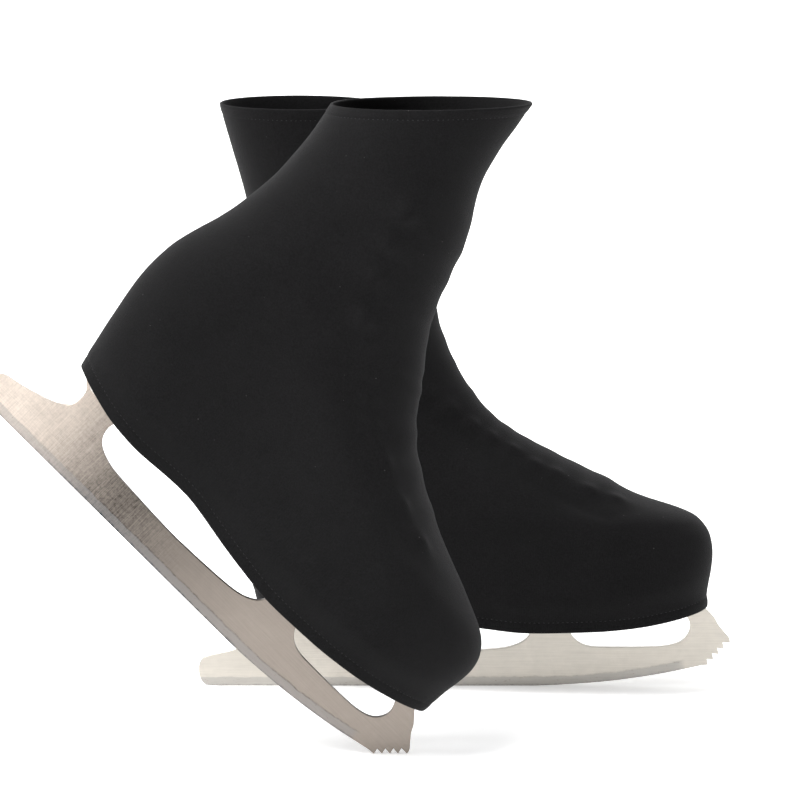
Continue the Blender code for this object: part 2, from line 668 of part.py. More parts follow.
        # the top hem is level in the world, so it crosses the tipped skate's frame at a slant
        def world_z(x, z):
            dx, dz = x - PICK_ROW[0], z - PICK_ROW[1]
            return -dx * math.sin(PICK_TILT) + dz * math.cos(PICK_TILT)

        top_b = max(z for z in np.arange(180, 300, 0.25)
                    if world_z(float(last.back.at(z)), z) < TOP_RIGHT)
        top_f = max(z for z in np.arange(180, 300, 0.25)
                    if world_z(float(last.front.at(z)), z) < TOP_RIGHT)
        c_b = np.linspace(ANKLE[1] + 1.5, top_b - 8, 8)
        c_f = np.linspace(ANKLE[1] + 1.5, top_f - 12, 8)
    rings = [last.ring(b, f, flat, N) for b, f in zip(c_b, c_f)]
    sk.shell("cover_shaft", rings, COVER_T, "cuff", KNIT)
    gap_b, gap_f = (GAP, GAP)
    rings = [last.ring(b, f, flat, N)
             for b, f in ((c_b[-1] + gap_b, c_f[-1] + gap_f), (top_b, top_f))]
    sk.shell("cover_top_band", rings, COVER_T + 0.8, "cuff", HEM_CLOTH)

    # the hem's elastic lies just inside the lower edge
    el = last.ring(48.2, 46.4, hem_bow, N, COVER_T + 1.4)
    el = [(p[0], p[1], p[2] + 0.8) for p in el]
    sk.tube("hem_elastic", el, 0.8, "foot", ELASTIC, cyclic=True, res=1)

    # --- facings: eyelets over the instep, hooks up the shaft
    f_off = BOOT_IN - 0.7 - GAP
    lower_face = lower_rings(f_off, zb0, zf0, sole_bow, 9)[5:]
    upper_face = [last.ring(b, f, flat, N, f_off) for b, f in zip(cuff_b, cuff_f)]
    for tag, sign in (("outer", -1), ("inner", 1)):
        for part, rings, body, mat, open_at in ((f"eyelet_facing_{tag}", lower_face, "foot", LEATHER, 3),
                                                (f"hook_facing_{tag}", upper_face, "cuff", LEATHER, 4)):
            cols = sorted(N + sign * c for c in range(open_at, open_at + 3))
            edge = (N + sign * open_at, N + sign * (open_at + 1))
            ob = sk.shell(part, [[r[j] for j in cols] for r in rings], 0.7, body, mat, closed=False)
            for k in range(len(rings) - 1):
                quad = [Vector(rings[k + a][j]) for a in (0, 1) for j in edge]
                at = sum(quad, Vector()) / 4
                if body == "cuff" and k == 0:
                    continue
                normal = (quad[1] - quad[0]).cross(quad[2] - quad[0]).normalized()
                if normal.x < 0:
                    normal.negate()
                sk.stud(ob, f"{part}_stud_{k}", at + normal * 0.1, normal, 2.3, 1.5, body)

    # --- laces
    on_tongue = TONGUE_IN - LACE_R - 2 * GAP
    sk.tube("lace_instep", lace_points(sk, [100, 105.5, 111, 117], on_tongue, 10.5), LACE_R, "foot", LACE, res=1)
    sk.tube("lace_shaft", lace_points(sk, [148, 160, 172, 184, 197, 210], on_tongue, 10.5), LACE_R, "cuff", LACE, res=1)


for which in ("left", "right"):
    build(which)
bpy.context.view_layer.update()
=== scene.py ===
"""The looks of a pair of figure skates in black stretch boot covers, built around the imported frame.

Points are worked out in each skate's own frame, in millimetres (x to the toe, y to the outer side of the
foot, z up from the ice), and moved to the shared frame in metres when a mesh is made.
"""
import math

import bmesh
import bpy
import numpy as np
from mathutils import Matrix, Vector


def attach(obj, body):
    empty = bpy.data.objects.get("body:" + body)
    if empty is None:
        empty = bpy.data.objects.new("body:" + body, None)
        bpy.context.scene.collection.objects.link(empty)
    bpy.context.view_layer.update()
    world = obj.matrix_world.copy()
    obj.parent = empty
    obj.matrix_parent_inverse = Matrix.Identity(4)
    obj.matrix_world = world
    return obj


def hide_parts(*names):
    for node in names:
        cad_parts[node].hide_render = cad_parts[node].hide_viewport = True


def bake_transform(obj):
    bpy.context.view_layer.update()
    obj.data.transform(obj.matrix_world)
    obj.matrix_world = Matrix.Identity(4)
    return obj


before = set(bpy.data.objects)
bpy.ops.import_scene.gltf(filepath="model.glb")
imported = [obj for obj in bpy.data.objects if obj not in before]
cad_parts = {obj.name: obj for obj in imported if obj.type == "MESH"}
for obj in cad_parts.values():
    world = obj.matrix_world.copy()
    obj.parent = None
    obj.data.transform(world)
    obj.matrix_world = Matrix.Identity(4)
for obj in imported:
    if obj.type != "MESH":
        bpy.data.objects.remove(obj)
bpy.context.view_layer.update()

# ---------------------------------------------------------------- sizes, as the CAD has them
BLADE_T = 4.0
BLADE_Z, HEEL_STAND_Z = 44.7, 42.7
PLATE_T, TOE_PLATE_Z, HEEL_PLATE_Z = 3.0, 45.0, 43.0
SOLE_T, SOLE_FRONT_Z, SOLE_HEEL_Z = 6.0, 48.3, 70.0
INSOLE_T, FOOTBED_T = 2.0, 3.0
COVER_T = 1.2
BOOT_IN, BOOT_T = 4.0, 3.2
TONGUE_IN, TONGUE_T = 8.0, 3.0
PAD_IN, PAD_T = 8.0, 3.5
LACE_R = 1.1
TILT = math.radians(45.2)
PICK_ROW, PICK_REACH = (147.5, 16.6), 8.0
ANKLE = (-38.0, 138.0)
FOOT_Y, LEFT_X, RIGHT_ROW_X = 95.0, 32.4, 12.4
GAP = 0.35
TOP_LEFT, TOP_RIGHT = 298.0, 315.0
CT, ST = math.cos(TILT), math.sin(TILT)
PIVOT = (PICK_ROW[0] - PICK_REACH * CT, PICK_ROW[1] - PICK_REACH * ST)


def to_world(which, p):
    p = np.asarray(p, float)
    if which == "left":
        return np.stack([LEFT_X + p[..., 0], FOOT_Y + p[..., 1], p[..., 2]], -1) * 0.001
    dx, dz = p[..., 0] - PIVOT[0], p[..., 2] - PIVOT[1]
    return np.stack([RIGHT_ROW_X - PICK_REACH + dx * CT + dz * ST, -FOOT_Y - p[..., 1],
                     -dx * ST + dz * CT], -1) * 0.001


def from_world(which, w):
    w = np.asarray(w, float) * 1000
    if which == "left":
        return np.stack([w[..., 0] - LEFT_X, w[..., 1] - FOOT_Y, w[..., 2]], -1)
    X, Z = w[..., 0] - (RIGHT_ROW_X - PICK_REACH), w[..., 2]
    return np.stack([X * CT - Z * ST + PIVOT[0], -w[..., 1] - FOOT_Y, X * ST + Z * CT + PIVOT[1]], -1)


# ---------------------------------------------------------------- the last, as the CAD has it
def smooth(u):
    u = np.clip(u, 0.0, 1.0)
    return u * u * (3 - 2 * u)


def spline(keys, steps=5):
    """Catmull-Rom curve through the keys; a key (x, z, 0) is a hard corner."""
    pts = []
    last = len(keys) - 1
    for i in range(last):
        p1, p2 = np.array(keys[i][:2], float), np.array(keys[i + 1][:2], float)
        hard1 = len(keys[i]) == 3 or i == 0
        hard2 = len(keys[i + 1]) == 3 or i + 1 == last
        p0 = p1 if hard1 else np.array(keys[i - 1][:2], float)
        p3 = p2 if hard2 else np.array(keys[i + 2][:2], float)
        n = 1 if (hard1 and hard2) else steps
        for k in range(n):
            t = k / n
            pts.append(0.5 * (2 * p1 + (p2 - p0) * t + (2 * p0 - 5 * p1 + 4 * p2 - p3) * t * t
                              + (3 * p1 - p0 - 3 * p2 + p3) * t ** 3))
    pts.append(np.array(keys[last][:2], float))
    return [tuple(p) for p in pts]


class Guide:
    """A profile x(z), offset inwards by any distance."""

    def __init__(self, keys, inward):
        fine = np.array(spline(keys, 10))
        self.x, self.z = fine[:, 0], fine[:, 1]
        d = np.gradient(fine, axis=0)
        d /= np.linalg.norm(d, axis=1)[:, None]
        self.n = np.stack([-d[:, 1], d[:, 0]], 1) * inward

    def at(self, z, off=0.0):
        x, zz = self.x + self.n[:, 0] * off, self.z + self.n[:, 1] * off
        order = np.argsort(zz)
        return np.interp(z, zz[order], x[order])


BACK_KEYS = [(-88.5, 36), (-88.5, 45), (-90.4, 52), (-92.2, 60), (-94, 68), (-95.8, 77),
             (-97.4, 85), (-98.7, 93), (-99.4, 101), (-99.4, 109), (-98.8, 117),
             (-97.4, 124), (-95.4, 131.5), (-92.6, 141), (-90.4, 151), (-89.2, 160),
             (-88.2, 170), (-88.0, 180)]
UPPER = {
    "left": dict(
        heel=0.0,
        toe=[(140.6, 35), (141.4, 43), (141.1, 48.5), (141.8, 54), (143.2, 62), (143.8, 71),
             (142.2, 79.5), (138.6, 85.2), (134.5, 88.7), (127.3, 91.7), (120.2, 93.8),
             (113.1, 95.9), (105.9, 98.4), (98.8, 101.5), (91.6, 105.2), (84.5, 108.4),
             (77.3, 111.8), (70.2, 115.2), (63.1, 118.9), (55.9, 122.6), (48.8, 126.4),
             (41.7, 130.8), (34.5, 136), (27, 143), (19.5, 152.3)],
        back=[(-88.2, 195), (-88.6, 215), (-90, 235), (-92.8, 249), (-96.2, 262),
              (-100, 275), (-105.4, 294), (-107, 302)],
        front=[(13.1, 163), (8.5, 173), (5.2, 182), (2.2, 193.5), (-1.2, 205), (-4.6, 216), (-7.4, 224.5),
               (-11.5, 236), (-15, 250), (-18.5, 264), (-22, 280), (-26, 302)],
    ),
    "right": dict(
        heel=3.0,
        toe=[(143.4, 34), (144.6, 41.5), (145, 45.8), (145.2, 50.5), (145.6, 57), (146.6, 64.6), (147, 72),
             (145.5, 78.8), (141.5, 84.8), (134.9, 89.8), (123, 95.2), (112.1, 99.8),
             (97, 105.6), (82.5, 111.6), (70, 118), (57.9, 125), (49, 131.5), (41.7, 138.4),
             (36, 144.8), (32, 149.8), (28.5, 154.6), (24.3, 160.4), (18.8, 167.4)],
        back=[(-92.6, 200), (-95.6, 216), (-99.2, 232), (-103, 248), (-107, 268), (-111, 300)],
        front=[(13.6, 174.6), (10.4, 180.4), (7.6, 186), (4.6, 193.4), (1.6, 201.6), (-1.5, 210),
               (-4.4, 218), (-7.9, 225.4), (-12.2, 232), (-16.3, 238.8), (-19.7, 246.3),
               (-22.1, 254.7), (-24.2, 263.5), (-25.7, 273), (-27.4, 282.1), (-29, 292),
               (-30.5, 304)],
    ),
}
HEM_KEYS = [(-95, 45.5), (-89, 44.8), (-84, 43.8), (-77, 42.4), (-65, 40.2), (-51, 39), (-42, 39),
            (-30, 40), (-21, 40.6), (-10, 40.6), (3, 38.8), (16, 36.8), (30, 35.2),
            (47, 33.8), (67, 34.4), (82, 35.2), (97, 36.6), (111, 38.4), (126, 41),
            (136, 43), (141, 44), (147, 44.6)]
HEM = np.array(spline(HEM_KEYS, 4))
WIDE = np.array([(-100, 33), (-60, 33.6), (-40, 32.4), (-20, 32), (0, 34), (20, 37.6),
                 (40, 41.6), (60, 44.4), (85, 45.6), (150, 45.6)])
MIDDLE = np.array([(-100, 0), (-40, 0.4), (-20, 1), (20, 2), (55, 2.6), (80, 1.2),
                   (105, -2), (125, -4.6), (150, -7)])


class Last:
    """The shape of one skate's upper: half width and middle line anywhere on it."""

    def __init__(self, which):
        s = UPPER[which]
        self.which = which
        self.back = Guide([(x - s["heel"], z) for x, z in BACK_KEYS] + s["back"], -1)
        self.front = Guide(s["toe"] + s["front"], 1)

    def half(self, x, z, off=0.0):
        xb, xf = self.back.at(z, off), self.front.at(z, off)
        shaft = np.interp(z, [90, 125, 145, 165, 190, 212, 224, 240, 262, 300],
                          [37, 37.5, 38.2, 36.6, 37.4, 40.4, 41, 38.6, 38.4, 41])
        wide = np.interp(x, WIDE[:, 0], WIDE[:, 1])
        wide = wide + (shaft - wide) * smooth((z - 88) / 60)
        hem = np.interp(x, HEM[:, 0], HEM[:, 1])
        wide = wide * (0.86 + 0.14 * smooth((z - hem) / 18)) - off
        lr = 36 + 8 * smooth((z - 150) / 60)
        lf = np.interp(z, [40, 64, 84, 100, 125, 150, 175, 200], [58, 60, 74, 92, 96, 78, 52, 46])
        u = np.clip((x - xb) / (lr - off), 0, 1)
        v = np.clip((xf - x) / (lf - off), 0, 1)
        return wide * (1 - (1 - u) ** 2.1) ** 0.5 * (1 - (1 - v) ** 2.15) ** 0.5

    def middle(self, x, z):
        m = np.interp(x, MIDDLE[:, 0], MIDDLE[:, 1])
        return m * (1 - smooth((z - 95) / 55))

    def ring(self, zb, zf, bow, t, off=0.0):
        """Points round one level for stations t in 0..1: back, outer side, front, inner side."""
        xb, xf = float(self.back.at(zb, off)), float(self.front.at(zf, off))
        x = xb + (xf - xb) * t
        z = zb + (zf - zb) * t + bow(x)
        h = self.half(x, z, off)
        h[0] = h[-1] = 0.0
        m = self.middle(x, z)
        return np.concatenate([np.stack([x, m + h, z], 1), np.stack([x, m - h, z], 1)[-2:0:-1]])


def no_bow(x):
    return 0 * x


def chord_bow(line, x):
    """How far a line stands above its own chord."""
    return line - (line[0] + (line[-1] - line[0]) * (x - x[0]) / (x[-1] - x[0]))


def hem_bow(x):
    return chord_bow(np.interp(x, HEM[:, 0], HEM[:, 1]), x)


def soletop(x, up=0.0):
    z0, z1 = SOLE_FRONT_Z + SOLE_T, SOLE_HEEL_Z + SOLE_T
    return z0 + (z1 - z0) * smooth((32 - x) / 66) + up + 2.2 * smooth((x - 105) / 45)


def sole_bow(x):
    return chord_bow(soletop(x, 2.0), x)


def top_levels(last):
    """Where the top hem, level in the world, meets the back and the front of the shaft."""
    if last.which == "left":
        return TOP_LEFT, TOP_LEFT
    out = []
    for guide in (last.back, last.front):
        z = np.arange(180, 300, 0.25)
        x = guide.at(z)
        high = -(x - PICK_ROW[0]) * ST + (z - PICK_ROW[1]) * CT
        out.append(float(z[high < TOP_RIGHT].max()))
    return tuple(out)


# ---------------------------------------------------------------- materials
class Nodes:
    """Small helper that builds a material's nodes."""

    def __init__(self, name, rough=0.5, metal=0.0, colour=(0.5, 0.5, 0.5)):
        self.m = bpy.data.materials.new(name)
        self.m.use_nodes = True
        self.t = self.m.node_tree
        self.b = self.t.nodes["Principled BSDF"]
        self.set(self.b, "Base Color", (*colour, 1))
        self.set(self.b, "Roughness", rough)
        self.set(self.b, "Metallic", metal)

    def set(self, node, socket, value):
        if isinstance(value, bpy.types.NodeSocket):
            self.t.links.new(value, node.inputs[socket])
        else:
            node.inputs[socket].default_value = value

    def node(self, kind, **sockets):
        n = self.t.nodes.new(kind)
        for k, v in sockets.items():
            self.set(n, k.replace("_", " "), v)
        return n

    def attr(self, name, socket="Vector"):
        n = self.t.nodes.new("ShaderNodeAttribute")
        n.attribute_name = name
        return n.outputs[socket]

    def place(self, vector, scale=(1, 1, 1), turn=(0, 0, 0)):
        n = self.t.nodes.new("ShaderNodeMapping")
        self.set(n, "Vector", vector)
        n.inputs["Scale"].default_value = scale
        n.inputs["Rotation"].default_value = turn
        return n.outputs[0]

    def noise(self, vector, scale, detail=4.0, rough=0.55, distort=0.0):
        n = self.node("ShaderNodeTexNoise", Vector=vector, Scale=scale, Detail=detail, Roughness=rough,
                      Distortion=distort)
        return n.outputs[0]

    def voronoi(self, vector, scale, feature="F1"):
        n = self.t.nodes.new("ShaderNodeTexVoronoi")
        n.feature = feature
        self.set(n, "Vector", vector)
        self.set(n, "Scale", scale)
        return n

    def math(self, op, a, b=0.0, c=0.0, clamp=False):
        n = self.t.nodes.new("ShaderNodeMath")
        n.operation = op
        n.use_clamp = clamp
        self.set(n, 0, a)
        self.set(n, 1, b)
        self.set(n, 2, c)
        return n.outputs[0]

    def span(self, value, lo, hi, a=0.0, b=1.0, how="SMOOTHSTEP"):
        n = self.t.nodes.new("ShaderNodeMapRange")
        n.interpolation_type = how
        self.set(n, 0, value)
        for i, v in enumerate((lo, hi, a, b)):
            n.inputs[i + 1].default_value = v
        return n.outputs[0]

    def mix(self, factor, a, b, how="MIX"):
        n = self.t.nodes.new("ShaderNodeMix")
        n.data_type = "RGBA"
        n.blend_type = how
        self.set(n, 0, factor)
        for i, v in ((6, a), (7, b)):
            self.set(n, i, v if isinstance(v, bpy.types.NodeSocket) else (*v, 1))
        return n.outputs[2]

    def parts(self, vector):
        n = self.node("ShaderNodeSeparateXYZ", Vector=vector)
        return n.outputs

    def bump(self, height, strength, distance=0.001, under=None):
        n = self.t.nodes.new("ShaderNodeBump")
        self.set(n, "Height", height)
        n.inputs["Strength"].default_value = strength
        n.inputs["Distance"].default_value = distance
        if under is not None:
            self.t.links.new(under, n.inputs["Normal"])
        return n.outputs[0]

    def done(self, colour=None, rough=None, normal=None, **plain):
        if colour is not None:
            self.set(self.b, "Base Color", colour)
        if rough is not None:
            self.set(self.b, "Roughness", rough)
        if normal is not None:
            self.set(self.b, "Normal", normal)
        for k, v in plain.items():
            self.b.inputs[k.replace("_", " ")].default_value = v
        return self.m


def knit_material(name, colour, sheen=0.05, wale=0.62, course=0.5):
    """Fine warp knit: wales and courses from the cloth's own measure, felted grain, a little lint."""
    k = Nodes(name, 0.86)
    cloth = k.attr("cloth")
    loc = k.attr("loc")
    u, v, _ = k.parts(cloth)
    wales = k.math("SINE", k.math("MULTIPLY", u, 2 * math.pi / wale))
    courses = k.math("SINE", k.math("ADD", k.math("MULTIPLY", v, 2 * math.pi / course),
                                    k.math("MULTIPLY", wales, 1.3)))
    loops = k.math("MULTIPLY", k.math("ADD", wales, 1.0), k.math("ADD", courses, 1.0))     # 0..4
    grain = k.noise(loc, 1.15, 3.0, 0.7)
    soft = k.noise(loc, 0.045, 3.0, 0.5)
    tone = k.math("ADD", k.span(grain, 0.34, 0.66, -0.5, 0.5, "LINEAR"), k.span(soft, 0.3, 0.7, -0.1, 0.1, "LINEAR"))
    tone = k.math("ADD", tone, k.math("MULTIPLY", loops, 0.05))
    tone = k.math("ADD", tone, 0.95)
    scaled = k.t.nodes.new("ShaderNodeVectorMath")
    scaled.operation = "SCALE"
    scaled.inputs[0].default_value = colour
    k.set(scaled, "Scale", tone)
    base = scaled.outputs[0]
    # lint: one cell in a few holds a speck
    cell = k.voronoi(loc, 0.15)
    pick = k.parts(cell.outputs["Color"])
    chosen = k.math("GREATER_THAN", pick[0], 0.42)
    size = k.span(pick[1], 0.0, 1.0, 0.018, 0.048, "LINEAR")
    speck = k.math("MULTIPLY", chosen, k.math("LESS_THAN", cell.outputs["Distance"], size))
    speck = k.math("MULTIPLY", speck, k.span(pick[2], 0.0, 1.0, 0.1, 0.6, "LINEAR"))
    base = k.mix(speck, base, (0.14, 0.135, 0.13))
    fine = k.bump(loops, 0.16, 0.00025)
    normal = k.bump(grain, 0.3, 0.0006, fine)
    return k.done(base, k.span(grain, 0.3, 0.7, 0.78, 0.94, "LINEAR"), normal,
                  Specular_IOR_Level=0.12, Sheen_Weight=sheen, Sheen_Roughness=0.42,
                  Sheen_Tint=(0.72, 0.71, 0.74, 1))


def steel_material(name, colour, blade=(), rough=0.34, grain_scale=1.0):
    k = Nodes(name, rough, 1.0)
    loc = k.attr("loc")
    x, y, z = k.parts(loc)
    along = k.noise(k.place(loc, (0.05 * grain_scale, 0.3 * grain_scale, 2.4 * grain_scale)), 1.0, 5.0, 0.6)
    upright = k.noise(k.place(loc, (2.2, 0.4, 0.07)), 1.0, 4.0, 0.6)
    cloud = k.noise(loc, 0.07, 5.0, 0.6, 0.4)
    spots = k.noise(loc, 0.55, 5.0, 0.75)
    tone = k.math("ADD", 0.93, k.span(along, 0.3, 0.7, -0.06, 0.06, "LINEAR"))
    tone = k.math("ADD", tone, k.span(cloud, 0.32, 0.68, -0.07, 0.07, "LINEAR"))
    worn = k.span(cloud, 0.3, 0.7, -0.05, 0.07, "LINEAR")
    grey = None
    if blade:
        # painted reflection: the tone is stepped along the blade to stand in for the light its steel reflects; then
        # the tail end mottled with upright grinding marks
        # shade: the painted reflection level, set for each blade and stepped along its length
        shade = blade[0]
        for x0, x1, step in blade[2:]:
            shade = k.math("ADD", k.span(x, x0, x1, 0.0, step), shade)
        tone = k.math("MULTIPLY", tone, shade)
        tail = k.span(x, 24, -40, 0.0, blade[1])
        tone = k.math("SUBTRACT", tone, k.math("MULTIPLY", tail, k.span(upright, 0.28, 0.72, 0.30, -0.04, "LINEAR")))
        tone = k.math("SUBTRACT", tone, k.math("MULTIPLY", tail, k.span(spots, 0.45, 0.7, 0.0, 0.22, "LINEAR")))
        # the ground band along the running edge, with a dull line where it ends
        rocker = k.math("MULTIPLY", k.math("POWER", k.math("MAXIMUM", k.math("SUBTRACT", x, 54.0), 0.0), 2.0), 0.00152)
        high = k.math("SUBTRACT", z, rocker)
        high = k.math("ADD", high, k.span(k.noise(k.place(loc, (0.12, 0, 0)), 1.0, 2.0), 0.3, 0.7, -0.35, 0.35, "LINEAR"))
        front = k.span(x, 126, 131, 1.0, 0.0)
        band = k.math("MULTIPLY", k.span(high, 4.2, 4.7, 1.0, 0.0), front)
        line = k.math("MULTIPLY", k.math("MULTIPLY", k.span(high, 4.0, 4.5, 0.0, 1.0), k.span(high, 4.6, 5.4, 1.0, 0.0)), front)
        marks = k.noise(k.place(loc, (0.35, 0.3, 1.3)), 1.0, 6.0, 0.8)
        grey = (band, line, marks)
        line = k.math("MULTIPLY", line, k.span(x, -40, 30, 0.25, 1.0))
        tone = k.math("SUBTRACT", tone, k.math("MULTIPLY", line, k.span(marks, 0.4, 0.62, 0.03, 0.24, "LINEAR")))
        edge = k.math("MULTIPLY", k.span(high, 0.3, 1.3, 1.0, 0.0), front)
        tone = k.math("SUBTRACT", tone, k.math("MULTIPLY", edge, k.span(spots, 0.42, 0.6, 0.05, 0.4, "LINEAR")))
    scaled = k.t.nodes.new("ShaderNodeVectorMath")
    scaled.operation = "SCALE"
    scaled.inputs[0].default_value = colour
    k.set(scaled, "Scale", tone)
    base = scaled.outputs[0]
    r = k.math("ADD", rough, worn)
    if grey:
        band, line, marks = grey
        base = k.mix(k.math("MULTIPLY", band, 0.40), base, (0.23, 0.235, 0.245))
        rust = k.math("MULTIPLY", k.math("ADD", band, line, clamp=True), k.span(marks, 0.60, 0.70, 0.0, 0.75))
        base = k.mix(rust, base, (0.16, 0.085, 0.05))
        r = k.math("ADD", r, k.math("MULTIPLY", rust, 0.3))
    scratch = k.bump(along, 0.14, 0.0004)
    return k.done(base, r, k.bump(spots, 0.08, 0.0005, scratch), Anisotropic=0.35)


def leather_material(name, colour, rough=0.42, scale=0.7, coat=0.12):
    k = Nodes(name, rough)
    loc = k.attr("loc")
    creases = k.voronoi(k.place(loc, (1, 1, 1.25)), scale, "DISTANCE_TO_EDGE").outputs["Distance"]
    fine = k.noise(loc, 2.2, 4.0, 0.65)
    cloud = k.noise(loc, 0.06, 3.0)
    # painted shade: the grain creases are coloured darker, on top of their bump
    tone = k.math("ADD", k.span(creases, 0.0, 0.12, 0.72, 1.0), k.span(cloud, 0.3, 0.7, -0.12, 0.14, "LINEAR"))
    scaled = k.t.nodes.new("ShaderNodeVectorMath")
    scaled.operation = "SCALE"
    scaled.inputs[0].default_value = colour
    k.set(scaled, "Scale", tone)
    h = k.math("ADD", k.span(creases, 0.0, 0.14, 0.0, 1.0), k.math("MULTIPLY", fine, 0.25))
    return k.done(scaled.outputs[0], k.span(fine, 0.3, 0.7, rough - 0.06, rough + 0.12, "LINEAR"), k.bump(h, 0.3, 0.0005),
                  Coat_Weight=coat, Coat_Roughness=0.35)


def lift_material(name, colour):
    """Stacked leather: layered edge lines and a waxed finish."""
    k = Nodes(name, 0.5)
    loc = k.attr("loc")
    layers = k.math("SINE", k.math("MULTIPLY", k.parts(loc)[2], 2 * math.pi / 3.6))
    fibre = k.noise(k.place(loc, (0.5, 0.5, 4.0)), 1.0, 5.0, 0.7)
    scuff = k.noise(loc, 0.16, 5.0, 0.7)
    base = k.mix(k.span(fibre, 0.35, 0.7, 0.0, 0.6), colour, tuple(c * 2.1 for c in colour))
    base = k.mix(k.span(layers, 0.86, 0.98, 0.0, 0.7), base, tuple(c * 0.35 for c in colour))
    base = k.mix(k.span(scuff, 0.6, 0.74, 0.0, 0.5), base, tuple(c * 2.8 for c in colour))
    return k.done(base, k.span(scuff, 0.3, 0.7, 0.36, 0.62, "LINEAR"), k.bump(fibre, 0.22, 0.0005), Coat_Weight=0.1, Coat_Roughness=0.4)


def fabric_material(name, colour, thread=0.9, rough=0.85, sheen=0.3):
    """Plain weave or brushed lining."""
    k = Nodes(name, rough)
    loc = k.attr("loc")
    x, y, z = k.parts(loc)
    w = 2 * math.pi / thread
    a = k.math("SINE", k.math("MULTIPLY", k.math("ADD", x, k.math("MULTIPLY", y, 0.35)), w))
    b = k.math("SINE", k.math("MULTIPLY", k.math("ADD", z, k.math("MULTIPLY", y, 0.6)), w))
    weave = k.math("MULTIPLY", a, b)
    fuzz = k.noise(loc, 1.4, 4.0, 0.7)
    cloud = k.noise(loc, 0.05, 3.0)
    tone = k.math("ADD", k.span(weave, -1, 1, 0.82, 1.08, "LINEAR"), k.span(cloud, 0.3, 0.7, -0.1, 0.1, "LINEAR"))
    tone = k.math("ADD", tone, k.span(fuzz, 0.3, 0.7, -0.12, 0.12, "LINEAR"))
    scaled = k.t.nodes.new("ShaderNodeVectorMath")
    scaled.operation = "SCALE"
    scaled.inputs[0].default_value = colour
    k.set(scaled, "Scale", tone)
    return k.done(scaled.outputs[0], k.span(fuzz, 0.3, 0.7, rough - 0.08, rough + 0.08, "LINEAR"),
                  k.bump(fuzz, 0.15, 0.0006, k.bump(weave, 0.3, 0.0003)), Sheen_Weight=sheen, Sheen_Roughness=0.5)


KNIT = knit_material("cover_knit_fabric", (0.0057, 0.0056, 0.0059))
THREAD = fabric_material("hem_thread", (0.0085, 0.0085, 0.009), 0.5, 0.85, 0.03)
ELASTIC = fabric_material("ribbed_elastic", (0.03, 0.03, 0.032), 0.8, 0.8, 0.2)
# The two blades are one ground steel: their overall tone and the tone steps along each are painted reflection of the
# light that blade catches
STEEL = {"left": steel_material("far_blade_steel_painted_reflection", (0.640, 0.600, 0.538), (0.98, 0.0), 0.36),
         "right": steel_material("near_blade_steel_painted_reflection", (0.625, 0.545, 0.478),
                                 (1.3, 0.7, (-104, -30, -0.94), (8, 62, 0.13)), 0.36)}
PLATE = steel_material("plate_satin_steel", (0.58, 0.57, 0.55), rough=0.42)
SCREW = steel_material("plated_screw", (0.70, 0.69, 0.67), rough=0.28, grain_scale=2.0)
SOLE = lift_material("sole_waxed_leather", (0.045, 0.032, 0.024))
HEEL = lift_material("heel_stacked_leather", (0.050, 0.035, 0.026))
LEATHER = leather_material("boot_black_leather", (0.022, 0.022, 0.024))
TONGUE_LEATHER = leather_material("tongue_soft_leather", (0.026, 0.026, 0.028), 0.5, 1.0, 0.05)
LINING = fabric_material("tan_lining", (0.42, 0.33, 0.235), 1.1)
BOARD = leather_material("insole_board", (0.40, 0.30, 0.20), 0.7, 0.5, 0.0)
FOAM = fabric_material("footbed_cloth", (0.12, 0.12, 0.13), 1.3)
LACE = fabric_material("braided_lace", (0.05, 0.05, 0.052), 0.7)
HOOK = steel_material("hook_nickel", (0.62, 0.62, 0.63), rough=0.25, grain_scale=2.0)


# ---------------------------------------------------------------- making pieces
def settle(ob, which, material, cloth=None):
    """Bakes the modifiers into the mesh, and gives it its material and its place in the skate's frame."""
    if ob.modifiers or ob.type != "MESH":
        me = bpy.data.meshes.new_from_object(ob.evaluated_get(bpy.context.evaluated_depsgraph_get()))
        name = ob.name
        world = ob.matrix_world.copy()
        bpy.data.objects.remove(ob, do_unlink=True)
        me.name = name
        ob = bpy.data.objects.new(name, me)
        bpy.context.scene.collection.objects.link(ob)
        me.transform(world)
    me = ob.data
    co = np.zeros(len(me.vertices) * 3, np.float32)
    me.vertices.foreach_get("co", co)
    loc = from_world(which, co.reshape(-1, 3)).astype(np.float32)
    a = me.attributes.get("loc") or me.attributes.new("loc", "FLOAT_VECTOR", "POINT")
    a.data.foreach_set("vector", loc.ravel())
    if cloth is not None:
        a = me.attributes.new("cloth", "FLOAT_VECTOR", "POINT")
        a.data.foreach_set("vector", np.asarray(cloth, np.float32).ravel())
    me.materials.clear()
    me.materials.append(material)
    me.shade_smooth()
    return ob


def mesh_piece(name, which, pts, faces):
    me = bpy.data.meshes.new(name)
    if which == "right":
        faces = [tuple(reversed(f)) for f in faces]
    me.from_pydata(to_world(which, np.asarray(pts, float)).tolist(), [], [tuple(int(i) for i in f) for f in faces])
    ob = bpy.data.objects.new(name, me)
    bpy.context.scene.collection.objects.link(ob)
    return ob


def grid_faces(rows, cols, wrap_cols=False, wrap_rows=False, skip=None):
    faces = []
    for k in range(rows if wrap_rows else rows - 1):
        for j in range(cols if wrap_cols else cols - 1):
            if skip is not None and skip(k, j):
                continue
            a, b = k * cols + j, k * cols + (j + 1) % cols
            c, d = ((k + 1) % rows) * cols + (j + 1) % cols, ((k + 1) % rows) * cols + j
            faces.append((a, d, c, b))
    return faces


def sharp(ob, degrees=35):
    ob.data.shade_smooth()
    ob.data.set_sharp_from_angle(angle=math.radians(degrees))
    return ob


def bends(ob, which):
    """The piece crosses the ankle; its transform is baked into its mesh, and the points below and above the ankle are
    worked out but not used.
    """
    s = to_world(which, (ANKLE[0], 0, ANKLE[1] - 22))
    e = to_world(which, (ANKLE[0], 0, ANKLE[1] + 20))
    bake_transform(ob)
    return ob


